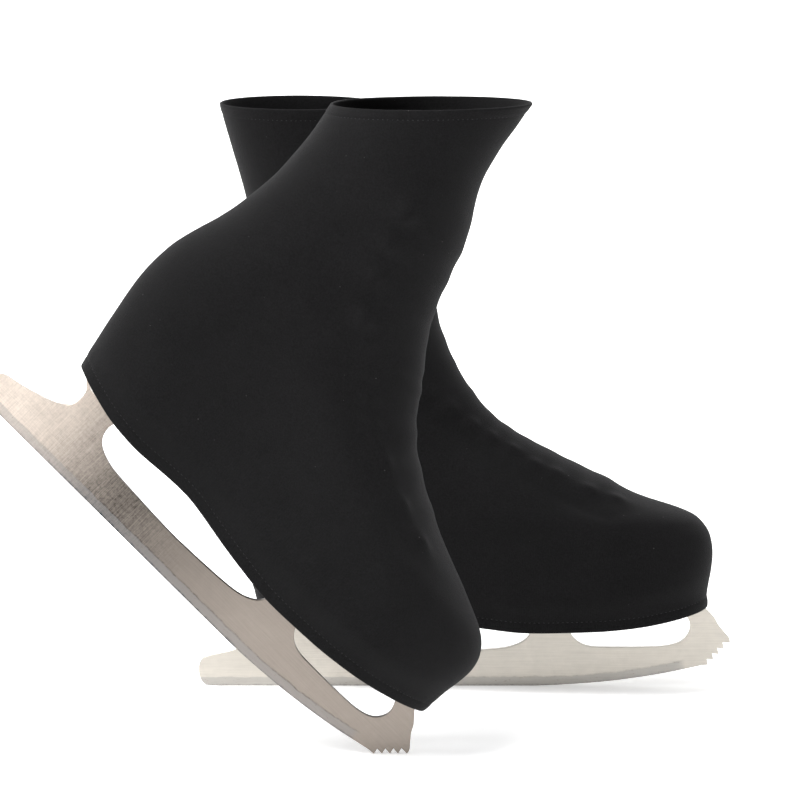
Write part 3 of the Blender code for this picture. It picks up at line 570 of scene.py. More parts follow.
def grid_normals(P):
    """Unit normals of a grid that closes around its columns, pointing out."""
    du = np.roll(P, -1, 1) - np.roll(P, 1, 1)
    dv = np.empty_like(P)
    dv[1:-1] = P[2:] - P[:-2]
    dv[0], dv[-1] = P[1] - P[0], P[-1] - P[-2]
    n = np.cross(dv, du)
    n /= np.maximum(np.linalg.norm(n, axis=2), 1e-9)[..., None]
    return n


def blur(d, times, keep=0.0):
    for _ in range(times):
        up, dn = np.vstack([d[:1], d[:-1]]), np.vstack([d[1:], d[-1:]])
        d = (1 - keep) * (np.roll(d, 1, 1) + np.roll(d, -1, 1) + up + dn) / 4
    return d


# the line of eyelets on each side, then the hooks up the shaft
EYES = {"right": [(82, 103), (62, 109.5), (42, 117.9), (24, 127.1), (14.2, 134.2), (5.7, 142.6), (-3.1, 150.7)],
        "left": [(94, 99), (80, 104), (63.3, 112), (52.2, 116.7), (41.1, 124.1), (30, 130.7), (20.8, 137.2),
                 (9.7, 145.6), (-1.4, 154)]}
HOOKS = [(-14.9, 159.1), (-24.8, 177.6), (-31.6, 193.1), (-36.1, 208.9)]


def side_point(last, x, z, off, side):
    x, z = np.atleast_1d(np.asarray(x, float)), np.atleast_1d(np.asarray(z, float))
    h, m = last.half(x, z, off), last.middle(x, z)
    return np.stack([x, m + side * h, z], 1)


def crest(last, x, z, off):
    """The nearest place on the front line to a point on the side."""
    zz = np.arange(80, 240, 0.5)
    xx = last.front.at(zz, off)
    i = int(np.argmin((xx - x) ** 2 + (zz - z) ** 2))
    return float(xx[i]), float(zz[i])


def across(last, a, b, side, deep, n=24):
    """Points from a on one side, over the front line, to b on the other; deep(q) is the offset, q 0..1..0."""
    c = crest(last, (a[0] + b[0]) / 2, (a[1] + b[1]) / 2, deep(1.0))
    pts = []
    for part, (p, s) in enumerate(((a, side), (b, -side))):
        q = np.linspace(0, 1, n)
        q = 1 - (1 - q) ** 2
        if part:
            q = q[::-1][1:]
        for t in q:
            x, z = p[0] + (c[0] - p[0]) * t, p[1] + (c[1] - p[1]) * t
            pts.append(side_point(last, x, z, deep(t), s)[0])
    return np.array(pts)


# ---------------------------------------------------------------- the cover
def build_cover(which):
    last = Last(which)
    n = 92
    t = (1 - np.cos(np.pi * np.arange(n + 1) / n)) / 2
    top_b, top_f = top_levels(last)
    rows = []
    hem_a = np.linspace(0, 0.085, 17)
    low_a = np.concatenate([hem_a, np.linspace(0.085, 1, 104)[1:]])
    for a in low_a:
        zb, zf, w = 45 + (142 - 45) * a, 42.6 + (142 - 42.6) * a ** 0.97, (1 - a) ** 2
        rows.append(last.ring(zb, zf, lambda x, w=w: w * hem_bow(x), t))
    up = np.concatenate([np.linspace(0, 0.9, 84)[1:], np.linspace(0.9, 1, 17)[1:]])
    for a in up:
        rows.append(last.ring(142 + (top_b - 142) * a, 142 + (top_f - 142) * a, no_bow, t))
    P = np.array(rows)
    R, C = P.shape[:2]
    V = np.concatenate([np.zeros((1, C)), np.cumsum(np.linalg.norm(np.diff(P, axis=0), axis=2), 0)])
    W = V[-1][None] - V                                  # distance down from the top hem
    s = np.minimum(np.arange(C), C - np.arange(C)) / n   # 0 at the back, 1 at the front, on both sides
    U = np.repeat((s * 190.0)[None], R, 0)

    # what lies under the cloth and how far it stands out
    bumps = []
    right = which == "right"
    for side in (1, -1):
        for i, (x, z) in enumerate(HOOKS):
            bumps.append((side_point(last, x, z, 0, side)[0], (6.6, 6.2, 6.2, 6.8)[i], (4.6, 3.2, 3.4, 3.8)[i]))
            bumps.append((side_point(last, x - 3.4, z - 1.6, 0, side)[0], 5.0, (2.6, 2.0, 2.1, 2.2)[i]))
        for x, z in EYES[which]:
            bumps.append((side_point(last, x, z, 0, side)[0], 3.8, 2.1))
        line = np.array(EYES[which] + [(HOOKS[0][0] + 4, HOOKS[0][1] - 4)], float)
        for a, b in zip(line[:-1], line[1:]):
            for q in np.linspace(0, 1, 7)[:-1]:
                x, z = a + (b - a) * q
                bumps.append((side_point(last, x, z, 0, side)[0], 3.4, 1.25))
    posts = EYES[which] + HOOKS
    for i in range(len(posts) - 1):
        high = 1.35 if i < len(EYES[which]) - 1 else 1.6
        for side in (1, -1):
            for p in across(last, posts[i], posts[i + 1], side, lambda q: 0.0, 14):
                bumps.append((p, 3.1, high))
    target = np.full((R, C), -9.0)
    flatP = P.reshape(-1, 3)
    for c, r, h in bumps:
        d2 = ((flatP - c) ** 2).sum(1).reshape(R, C) / (r * r)
        target = np.maximum(target, np.where(d2 < 1, h * np.sqrt(np.maximum(1 - d2, 0)), -9.0))
    d = np.zeros((R, C))
    for _ in range(90):
        d = blur(d, 1, 0.022)
        d = np.maximum(d, target)
    d = blur(d, 2)
    # a shallow hollow just below the line of eyelets
    near_line = np.full((R, C), 99.0)
    line = np.array(EYES[which] + HOOKS[:1], float)
    for side in (1, -1):
        for a, b in zip(line[:-1], line[1:]):
            for q in np.linspace(0, 1, 7)[:-1]:
                x, z = a + (b - a) * q
                p = side_point(last, x - 4.6, z - 6.4, 0, side)[0]
                near_line = np.minimum(near_line, np.sqrt(((flatP - p) ** 2).sum(1)).reshape(R, C))
    d -= (1.7 if which == "left" else 0.9) * np.exp(-(near_line / 5.2) ** 2)
    d = blur(d, 1)
    for side in (1, -1):
        for q, (x, z) in enumerate(HOOKS + EYES[which]):
            far = ((flatP - side_point(last, x, z, 0, side)[0]) ** 2).sum(1).reshape(R, C)
            low = ((flatP - side_point(last, x + 3.2, z - 5.2, 0, side)[0]) ** 2).sum(1).reshape(R, C)
            strong = (1.5, 1.0, 1.15, 1.25)[q] if q < 4 else 0.8
            d += strong * (np.exp(-far / 3.7 ** 2) - 0.55 * np.exp(-low / 4.2 ** 2))
    # cloth pulled between the points it hangs on: long shallow folds, run from the hooks and the instep
    rng = np.random.default_rng(7 if right else 11)
    loc = P
    for _ in range(16):
        cx, cz = rng.uniform(-60, 80), rng.uniform(60, 220)
        ang, width, length = rng.uniform(-0.9, 0.9) + (1.1 if cz > 140 else 0.35), rng.uniform(5, 9), rng.uniform(26, 52)
        side = rng.choice([-1, 1])
        ax, az = math.cos(ang), math.sin(ang)
        e = (loc[..., 0] - cx) * ax + (loc[..., 2] - cz) * az
        f = -(loc[..., 0] - cx) * az + (loc[..., 2] - cz) * ax
        on = smooth((side * loc[..., 1] - 8) / 14)
        d += rng.uniform(0.10, 0.24) * rng.choice([-1, 1]) * np.exp(-(e / length) ** 2 - (f / width) ** 2) * on
    # stretch folds in the bend of the ankle, at the front
    for cz, high, wid in ((150.5, 0.8, 3.6), (158.5, 0.55, 3.4)) if right else ((151, 0.6, 3.6),):
        zf = loc[..., 2] + 0.35 * (float(last.front.at(cz)) - loc[..., 0])
        d += high * np.exp(-((zf - cz) / wid) ** 2) * smooth((loc[..., 0] - (float(last.front.at(cz)) - 30)) / 26)
    # the bottom hem: a turned-up edge over its elastic, drawn in by the stitching, then small puckers
    arc = np.concatenate([[0], np.cumsum(np.linalg.norm(np.diff(np.vstack([P[8], P[8][:1]]), axis=0), axis=1))])[:-1]
    ripple = np.sin(2 * np.pi * arc / 8.3 + 0.9 * np.sin(arc / 17.0)) * (0.7 + 0.3 * np.sin(arc / 23.0))
    d += 0.16 * np.exp(-((V - 2.3) / 1.9) ** 2) - 0.26 * np.exp(-((V - 5.0) / 0.7) ** 2)
    d += 0.10 * ripple[None] * np.exp(-((V - 6.5) / 5.5) ** 2)
    # the top hem: a narrow turned-over edge
    d += 0.16 * smooth((4.6 - W) / 1.2) - 0.16 * np.exp(-((W - 5.0) / 0.7) ** 2)
    N = grid_normals(P)
    outer = P + N * d[..., None]
    N2 = grid_normals(outer)
    thick = np.where(V < 5, COVER_T + 0.3 * smooth((5 - V) / 1.2), COVER_T)
    thick = np.where(W < 5, COVER_T + 0.4 * smooth((5 - W) / 1.2), thick)
    inner = outer - N2 * thick[..., None]
    # the two rims are round
    def rim(edge_out, edge_in, way):
        mid, r = (edge_out + edge_in) / 2, (edge_out - edge_in) / 2
        size = np.linalg.norm(r, axis=1)[:, None]
        return [mid + r * math.cos(g) + way * size * math.sin(g) for g in (math.pi / 4, math.pi / 2, 3 * math.pi / 4)]

    up_dir = outer[-1] - outer[-2]
    up_dir /= np.linalg.norm(up_dir, axis=1)[:, None]
    down_dir = outer[0] - outer[1]
    down_dir /= np.linalg.norm(down_dir, axis=1)[:, None]
    pick = list(range(R - 1, -1, -2))
    if pick[-1] != 0:
        pick.append(0)
    loop = list(outer) + rim(outer[-1], inner[-1], up_dir) + [inner[i] for i in pick] + rim(inner[0], outer[0], down_dir)
    rim_v = [V[-1] + 0.6] * 3
    measure = list(V) + rim_v + [V[i] for i in pick] + [V[0] - 0.6] * 3
    G = np.array(loop)
    ob = mesh_piece(f"{which}_boot_cover", which, G.reshape(-1, 3), grid_faces(len(G), C, True, True))
    cloth = np.stack([np.repeat(U[:1], len(G), 0), np.array(measure), np.zeros((len(G), C))], 2)
    ob = settle(ob, which, KNIT, cloth.reshape(-1, 3))
    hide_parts(f"{which}_cover_lower", f"{which}_cover_shaft", f"{which}_cover_top_band")
    bends(ob, which)

    def stitches(name, level, from_top, gap, long, body, lift):
        """A row of small raised stitches along a line a set distance from an edge."""
        pts, nrm = [], []
        D = W if from_top else V
        for j in range(C):
            order = np.argsort(D[:, j])
            k = np.interp(level, D[order, j], order.astype(float))
            i = min(int(k), R - 2)
            q = k - i
            pts.append(outer[i, j] * (1 - q) + outer[i + 1, j] * q)
            nrm.append(N2[i, j])
        pts, nrm = np.array(pts), np.array(nrm)
        closed = np.vstack([pts, pts[:1]])
        along = np.concatenate([[0], np.cumsum(np.linalg.norm(np.diff(closed, axis=0), axis=1))])
        count = int(along[-1] / gap)
        at = np.linspace(0, along[-1], count, endpoint=False)
        far = np.vstack([nrm, nrm[:1]])
        verts, faces = [], []
        ring = 5
        for a in at:
            span = np.linspace(-long / 2, long / 2, 5)
            axis = [np.array([np.interp((a + u) % along[-1], along, closed[:, i]) for i in range(3)]) for u in span]
            nn = np.array([np.interp(a, along, far[:, i]) for i in range(3)])
            nn /= np.linalg.norm(nn)
            go = axis[-1] - axis[0]
            go /= np.linalg.norm(go)
            side = np.cross(nn, go)
            base = len(verts)
            for i, p in enumerate(axis):
                r = 0.17 * math.sqrt(max(0.08, 1 - ((i - 2) / 2.2) ** 2))
                c = p + nn * (lift - 0.22 * abs(i - 2) / 2)
                for g in range(ring):
                    w = 2 * math.pi * g / ring
                    verts.append(c + nn * r * math.cos(w) + side * r * math.sin(w))
            for i in range(4):
                for g in range(ring):
                    x0, x1 = base + i * ring + g, base + i * ring + (g + 1) % ring
                    faces.append((x0, x1, x1 + ring, x0 + ring))
            faces.append(tuple(base + g for g in reversed(range(ring))))
            faces.append(tuple(base + 4 * ring + g for g in range(ring)))
        st = mesh_piece(name, which, verts, faces)
        bm = bmesh.new()
        bm.from_mesh(st.data)
        bmesh.ops.recalc_face_normals(bm, faces=bm.faces)
        bm.to_mesh(st.data)
        bm.free()
        st = settle(st, which, THREAD)
        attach(st, body)
        return st

    low = stitches(f"{which}_bottom_hem_stitches", 5.0, False, 2.4, 1.5, f"{which}_foot", 0.06)
    high = stitches(f"{which}_top_hem_stitches", 5.0, True, 2.4, 1.5, f"{which}_cuff", 0.0)

    # the elastic inside the bottom hem: a flat ribbed band that shows just inside the opening
    e_rows = []
    order = range(3, 13)
    for k in order:
        e_rows.append(outer[k] - N2[k] * (thick[k][:, None] + 0.45 + 0.12 * np.sin(2 * np.pi * arc / 2.2)[:, None]))
    e_out = np.array(e_rows)
    e_in = np.array([e_rows[i] - N2[k] * 0.8 for i, k in enumerate(order)])
    G = np.concatenate([e_out, e_in[::-1]])
    el = mesh_piece(f"{which}_hem_elastic_band", which, G.reshape(-1, 3), grid_faces(len(G), C, True, True))
    el = settle(el, which, ELASTIC)
    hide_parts(f"{which}_hem_elastic")
    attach(el, f"{which}_foot")
    return ob, last


# ---------------------------------------------------------------- the boot under it
def t_cut(z):
    """How far round from the back the leather reaches at the front, by height."""
    return float(np.interp(z, [95, 112, 128, 142, 160, 221], [0.885, 0.86, 0.84, 0.79, 0.755, 0.75]))


def boot_grid(last, off, levels, nb=44, nf=22):
    rows = []
    for zb, zf, w in levels:
        cut = t_cut(zf)
        tb = cut * (1 - np.cos(np.pi * 0.5 * np.arange(nb + 1) / nb)) ** 1.0
        tb = cut * (np.arange(nb + 1) / nb) ** 1.35
        q = np.arange(1, nf + 1) / nf
        tf = cut + (1 - cut) * np.sin(np.pi / 2 * q)
        tf[-1] = 1.0
        t = np.concatenate([tb, tf])
        rows.append(last.ring(zb, zf, lambda x, w=w: w * sole_bow(x), t, off))
    return np.array(rows)


def thicken(ob, thick, bevel=0.7):
    mod = ob.modifiers.new("thickness", "SOLIDIFY")
    mod.thickness = thick * 0.001
    mod.offset = -1
    mod.use_even_offset = False
    mod.thickness_clamp = 0
    if bevel:
        b = ob.modifiers.new("edge", "BEVEL")
        b.width = bevel * 0.001
        b.segments = 3
        b.limit_method = "ANGLE"
        b.angle_limit = math.radians(60)
    return ob


def drop_loose(ob):
    bm = bmesh.new()
    bm.from_mesh(ob.data)
    bmesh.ops.delete(bm, geom=[v for v in bm.verts if not v.link_faces], context="VERTS")
    bm.to_mesh(ob.data)
    bm.free()


def build_boot(last):
    which = last.which
    zb0, zf0 = float(soletop(np.array([-94.0]), 2.0)[0]), float(soletop(np.array([143.0]), 2.0)[0])
    levels = []
    for a in np.linspace(0, 1, 46):
        levels.append((zb0 + (142 - zb0) * a, zf0 + (142 - zf0) * a ** 0.97, (1 - a) ** 2))
    for a in np.linspace(0, 1, 34)[1:]:
        levels.append((142 + (206 - 142) * a, 142 + (221 - 142) * a, 0.0))
    nb, nf = 44, 22
    P = boot_grid(last, BOOT_IN, levels, nb, nf)
    R, C = P.shape[:2]
    half = nb + nf
    start = next(k for k, l in enumerate(levels) if l[1] > 97.5)

    def skip(k, j):
        return k >= start and nb <= j < half + nf

    d = np.zeros((R, C))
    N = grid_normals(P)
    jj = np.arange(C)
    from_edge = np.minimum(np.abs(jj - nb), np.abs(jj - (C - nb)))
    for k in range(R):
        # the backstay is a raised strip up the heel
        d[k] += 0.5 * (np.minimum(jj, C - jj) <= 3) * smooth((levels[k][0] - 92) / 12)
    P = P + N * d[..., None]
    ob = mesh_piece(f"{which}_boot_upper", which, P.reshape(-1, 3), grid_faces(R, C, True, False, skip))
    drop_loose(ob)
    ob = settle(thicken(ob, BOOT_T), which, LEATHER)
    sharp(ob, 50)
    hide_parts(f"{which}_boot_lower", f"{which}_boot_cuff")
    bends(ob, which)

    # facings: one strip up each side of the throat, stitched on
    for tag, side in (("outer", 1), ("inner", -1)):
        off = BOOT_IN - 0.7 - GAP
        G = []
        for zb, zf, w in levels[start:]:
            cut = t_cut(zf)
            width = 0.075 if zf < 140 else 0.12
            tt = np.linspace(cut - width, cut + 0.004, 9)
            full = last.ring(zb, zf, lambda x, w=w: w * sole_bow(x), np.concatenate([[0.0], tt, [1.0]]), off)
            G.append(full[1:10] if side > 0 else full[-9:][::-1])
        G = np.array(G)
        faces = grid_faces(len(G), 9)
        if side < 0:
            faces = [tuple(reversed(f)) for f in faces]
        f = mesh_piece(f"{which}_facing_{tag}", which, G.reshape(-1, 3), faces)
        f = settle(thicken(f, 0.7, 0.25), which, LEATHER)
        sharp(f, 50)
        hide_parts(f"{which}_eyelet_facing_{tag}", f"{which}_hook_facing_{tag}")
        bends(f, which)

    # eyelets and hooks
    verts, faces = [], []

    def add(profile, at, n, up, squash=None, seg=18):
        """A turned profile of (radius, height) round the normal n at a point."""
        n = n / np.linalg.norm(n)
        a = np.cross(n, up)
        a /= np.linalg.norm(a)
        b = np.cross(n, a)
        base = len(verts)
        for r, h in profile:
            for g in range(seg):
                w = 2 * math.pi * g / seg
                verts.append(at + n * h + a * r * math.cos(w) + b * r * math.sin(w))
        m = len(profile)
        for i in range(m):
            for g in range(seg):
                x0, x1 = base + i * seg + g, base + i * seg + (g + 1) % seg
                y0, y1 = base + ((i + 1) % m) * seg + g, base + ((i + 1) % m) * seg + (g + 1) % seg
                if i == m - 1 and not squash:
                    continue
                faces.append((x0, x1, y1, y0))
        if not squash:
            faces.append(tuple(base + g for g in reversed(range(seg))))
            faces.append(tuple(base + (m - 1) * seg + g for g in range(seg)))

    def side_normal(x, z, side):
        e = 0.6
        p = side_point(last, x, z, 2.2, side)[0]
        px = side_point(last, x + e, z, 2.2, side)[0] - p
        pz = side_point(last, x, z + e, 2.2, side)[0] - p
        n = np.cross(pz, px) * side
        return p, n / np.linalg.norm(n)

    for side in (1, -1):
        for x, z in EYES[which]:
            p, n = side_normal(x, z, side)
            add([(1.7, -1.4), (1.9, -0.2), (2.9, -0.35), (3.0, 0.0), (2.6, 0.45), (1.8, 0.4), (1.45, 0.0), (1.4, -1.4)], p, n,
                np.array([0.3, 0, 1.0]), squash=True)
        for x, z in HOOKS:
            p, n = side_normal(x, z, side)
            add([(3.3, -0.6), (3.3, 0.0), (2.9, 0.35), (1.3, 0.4), (1.15, 2.0)], p, n, np.array([0.3, 0, 1.0]))
            back = np.array([-0.9, 0, -0.35])
            back -= n * back.dot(n)
            back /= np.linalg.norm(back)
            # the head of the hook leans back over its stem
            add([(1.3, 1.7), (2.4, 2.2), (2.9, 2.7), (2.7, 3.1), (1.6, 3.35)], p + back * 1.1, n, np.array([0.3, 0, 1.0]))
    hw = mesh_piece(f"{which}_eyelets_and_hooks", which, verts, faces)
    bm = bmesh.new()
    bm.from_mesh(hw.data)
    bmesh.ops.recalc_face_normals(bm, faces=bm.faces)
    bm.to_mesh(hw.data)
    bm.free()
    hw = settle(hw, which, HOOK)
    sharp(hw, 40)
    bends(hw, which)

    # tongue: padded, with a rounded top and a turned edge
    rows = []
    lev = [(zb0 + (142 - zb0) * a, 80 + (142 - 80) * a) for a in np.linspace(0.32, 1, 30)]
    lev += [(142 + (214 - 142) * a, 142 + (229 - 142) * a) for a in np.linspace(0, 1, 34)[1:]]
    nc = 17
    q = np.linspace(-1, 1, 2 * nc + 1)
    for i, (zb, zf) in enumerate(lev):
        reach = float(np.interp(zf, [95, 120, 142, 200, 229], [0.15, 0.21, 0.29, 0.33, 0.33]))
        if zf > 214:
            reach *= math.sqrt(max(0.05, 1 - ((zf - 214) / 15.6) ** 2))
        tt = 1 - reach * np.abs(q[: nc + 1]) ** 1.7
        full = last.ring(zb, zf, no_bow, np.concatenate([[0.0], tt]), TONGUE_IN)
        outer_side = full[1:nc + 2]
        inner_side = full[nc + 2 - 1:][1:][:nc] if False else full[-nc:]
        rows.append(np.concatenate([outer_side, inner_side]))
    G = np.array(rows)
    cols = G.shape[1]
    tongue = mesh_piece(f"{which}_padded_tongue", which, G.reshape(-1, 3), grid_faces(len(G), cols))
    tongue = settle(thicken(tongue, TONGUE_T, 1.1), which, TONGUE_LEATHER)
    sharp(tongue, 60)
    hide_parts(f"{which}_tongue_lower", f"{which}_tongue_upper")
    bends(tongue, which)

    # collar lining: soft rolls round the ankle, quilted in a few channels
    rows = []
    for a in np.linspace(0, 1, 40):
        zb, zf = 142 + (204.5 - 142) * a, 142 + (219.5 - 142) * a
        tt = np.linspace(0, 0.62, 46)
        full = last.ring(zb, zf, no_bow, np.concatenate([tt, [1.0]]), PAD_IN)
        outer_side, inner_side = full[:46], full[-45:]
        line = np.concatenate([inner_side, outer_side])
        rows.append(line)
    P = np.array(rows)
    R, C = P.shape[:2]
    du = np.gradient(P, axis=1)
    dv = np.gradient(P, axis=0)
    N = np.cross(dv, du)
    N /= np.linalg.norm(N, axis=2)[..., None]
    a = np.linspace(0, 1, R)[:, None]
    c = np.linspace(0, 1, C)[None]
    channel = np.abs(np.sin(np.pi * 3 * a)) ** 0.45
    edge = np.minimum(1, np.minimum(np.minimum(a, 1 - a) * 9, np.minimum(c, 1 - c) * 14)) ** 0.5
    thick = 0.6 + 3.1 * edge * (0.55 + 0.45 * channel)
    inner = P - N * thick[..., None]
    verts = np.concatenate([P.reshape(-1, 3), inner.reshape(-1, 3)])
    faces = grid_faces(R, C)
    faces += [tuple(i + R * C for i in reversed(f)) for f in grid_faces(R, C)]
    loop = [j for j in range(C)] + [k * C + C - 1 for k in range(1, R)] + [(R - 1) * C + j for j in range(C - 2, -1, -1)] + \
           [k * C for k in range(R - 2, 0, -1)]
    for a0, b0 in zip(loop, loop[1:] + loop[:1]):
        faces.append((a0, b0, b0 + R * C, a0 + R * C))
    pad = mesh_piece(f"{which}_collar_lining", which, verts, faces)
    bm = bmesh.new()
    bm.from_mesh(pad.data)
    bmesh.ops.recalc_face_normals(bm, faces=bm.faces)
    bm.to_mesh(pad.data)
    bm.free()
    pad = settle(pad, which, LINING)
    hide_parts(f"{which}_collar_padding")
    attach(pad, f"{which}_cuff")

    # the lace, crossing from side to side up the whole front
    posts = EYES[which] + HOOKS
    cu = bpy.data.curves.new(f"{which}_lace", "CURVE")
    cu.dimensions = "3D"
    cu.bevel_depth = LACE_R * 0.001
    cu.bevel_resolution = 3
    cu.use_fill_caps = True
    for start_side in (1, -1):
        side = start_side
        pts = []
        lift = 0.0 if start_side > 0 else 1.9
        for i in range(len(posts) - 1):
            seg = across(last, posts[i], posts[i + 1], side, lambda q, lift=lift: 1.6 + (TONGUE_IN - 3.4 - lift - 1.6) * smooth(q * 1.6), 12)
            pts += list(seg if not pts else seg[1:])
            side = -side
        sp = cu.splines.new("POLY")
        sp.points.add(len(pts) - 1)
        for qn, p in zip(sp.points, to_world(which, np.array(pts))):
            qn.co = (*p, 1)
    lace = bpy.data.objects.new(f"{which}_crossed_lace", cu)
    bpy.context.scene.collection.objects.link(lace)
    bpy.context.view_layer.update()
    lace = settle(lace, which, LACE)
    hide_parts(f"{which}_lace_instep", f"{which}_lace_shaft")
    bends(lace, which)


# ---------------------------------------------------------------- blade, sole and heel
def blade_outline(steps=8):
    def row(d, up=0.0):
        return (PICK_ROW[0] + d * CT - up * ST, PICK_ROW[1] + d * ST + up * CT, 0)

    keys = [(-107, 0, 0), (54, 0, 0), (66, 0.5), (86, 1.9), (103, 3.9), (119, 6.5), (131, 9.0)]
    picks = [row(-10.6, 2.2)]
    for d, deep in ((-PICK_REACH, 2.5), (-4.1, 2.6), (-0.2, 2.7), (3.7, 2.8)):
        picks += [row(d), row(d + 1.7, deep)]
    picks += [row(PICK_REACH)]
    keys += picks
    keys += [(152.6, 24.6), (149.6, 28.2), (147.2, 31.2), (145.0, 35), (141, 39.4), (135.6, BLADE_Z, 0),
             (122, BLADE_Z, 0), (128.6, 39.6), (131.6, 35), (132.8, 31), (131.6, 26.6), (128, 22.8),
             (121, 20.6), (110, 19.9), (92, 19.8), (82, 20.2), (76, 22.4), (72.4, 26), (71, 30), (72.4, 37),
             (78, BLADE_Z, 0), (44, BLADE_Z, 0), (50, 38), (52.2, 32), (51.4, 27.6), (48.6, 23.8), (43, 20.8),
             (35, 19.2), (20, 18.2), (0, 17.6), (-15, 18), (-30, 18.8), (-44, 19.8), (-52, 21.8),
             (-57.6, 25), (-60.4, 30), (-60, 36), (-54, HEEL_STAND_Z, 0), (-86, HEEL_STAND_Z, 0),
             (-81.2, 38), (-80.2, 32.6), (-81.6, 27.8), (-85.2, 24.4), (-91, 21.6), (-98, 19.4),
             (-105, 17.4), (-112.4, 15.9), (-115.6, 14.4), (-117.6, 11.6), (-118, 8), (-117.4, 4.4),
             (-116, 1.9), (-113.6, 0.6), (-107, 0, 0)]
    return spline(keys, steps)[:-1]


def build_blade(which):
    cu = bpy.data.curves.new(f"{which}_blade_outline", "CURVE")
    cu.dimensions = "2D"
    cu.fill_mode = "BOTH"
    cu.extrude = (BLADE_T / 2 - 0.15) * 0.001
    cu.bevel_depth = 0.15 * 0.001
    cu.bevel_resolution = 0
    cu.offset = -0.15 * 0.001
    pts = blade_outline()
    sp = cu.splines.new("POLY")
    sp.points.add(len(pts) - 1)
    for q, p in zip(sp.points, pts):
        q.co = (p[0] * 0.001, p[1] * 0.001, 0, 1)
    sp.use_cyclic_u = True
    raw = bpy.data.objects.new(f"{which}_blade_raw", cu)
    bpy.context.scene.collection.objects.link(raw)
    bpy.context.view_layer.update()
    me = bpy.data.meshes.new_from_object(raw.evaluated_get(bpy.context.evaluated_depsgraph_get()))
    bpy.data.objects.remove(raw, do_unlink=True)
    co = np.zeros(len(me.vertices) * 3, np.float32)
    me.vertices.foreach_get("co", co)
    co = co.reshape(-1, 3).astype(float) * 1000
    local = np.stack([co[:, 0], co[:, 2], co[:, 1]], 1)     # curve x, y become the skate's x, z
    me.vertices.foreach_set("co", to_world(which, local).astype(np.float32).ravel())
    bm = bmesh.new()
    bm.from_mesh(me)
    bmesh.ops.remove_doubles(bm, verts=bm.verts, dist=2e-6)
    bmesh.ops.recalc_face_normals(bm, faces=bm.faces)
    bm.to_mesh(me)
    bm.free()
    me.name = f"{which}_ground_blade"
    ob = bpy.data.objects.new(f"{which}_ground_blade", me)
    bpy.context.scene.collection.objects.link(ob)
    ob = settle(ob, which, STEEL[which])
    sharp(ob, 14)
    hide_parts(f"{which}_blade")
    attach(ob, f"{which}_foot")
    return ob


def slab(name, which, xs, half, mid, low, high, profile, material, body, crease=40):
    """A solid with a plan outline given by half widths; profile is (inset, share of height) from bottom to top."""
    xs = np.asarray(xs, float)
    rows = []
    for inset, share in profile:
        up = []
        x0, x1 = xs[0], xs[-1]
        k = 1 - inset * 2 / (x1 - x0)
        xx = (xs - (x0 + x1) / 2) * k + (x0 + x1) / 2
        w = np.array([max(half(x) - inset, 0.0) for x in xs])
        w[0] = w[-1] = 0.0
        m = np.array([mid(x) for x in xs])
        z = np.array([low(x) + (high(x) - low(x)) * share for x in xx])
        side = np.stack([xx, m + w, z], 1)
        other = np.stack([xx, m - w, z], 1)[-2:0:-1]
        rows.append(np.concatenate([side, other]))
    G = np.array(rows)
    R, C = G.shape[:2]
    n = len(xs) - 1
    faces = grid_faces(R, C, True, False)
    for base, flip in ((0, False), ((R - 1) * C, True)):
        for j in range(n):
            a, b = base + j, base + j + 1
            c, d = base + (C - j - 1) % C, base + (C - j) % C
            f = (a, b, c, d)
            f = tuple(dict.fromkeys(f))
            if len(f) > 2:
                faces.append(f if flip else tuple(reversed(f)))
    ob = mesh_piece(name, which, G.reshape(-1, 3), faces)
    bm = bmesh.new()
    bm.from_mesh(ob.data)
    bmesh.ops.remove_doubles(bm, verts=bm.verts, dist=1e-7)
    bmesh.ops.recalc_face_normals(bm, faces=bm.faces)
    bm.to_mesh(ob.data)
    bm.free()
    ob = settle(ob, which, material)
    sharp(ob, crease)
    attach(ob, body)
    return ob


def superoval(x, x0, x1, l0, l1, wide, p=2.2):
    u = min(max((x - x0) / l0, 0), 1)
    v = min(max((x1 - x) / l1, 0), 1)
    return wide * (1 - (1 - u) ** p) ** 0.5 * (1 - (1 - v) ** p) ** 0.5


def cosine(x0, x1, n):
    return [x0 + (x1 - x0) * (1 - math.cos(math.pi * i / n)) / 2 for i in range(n + 1)]


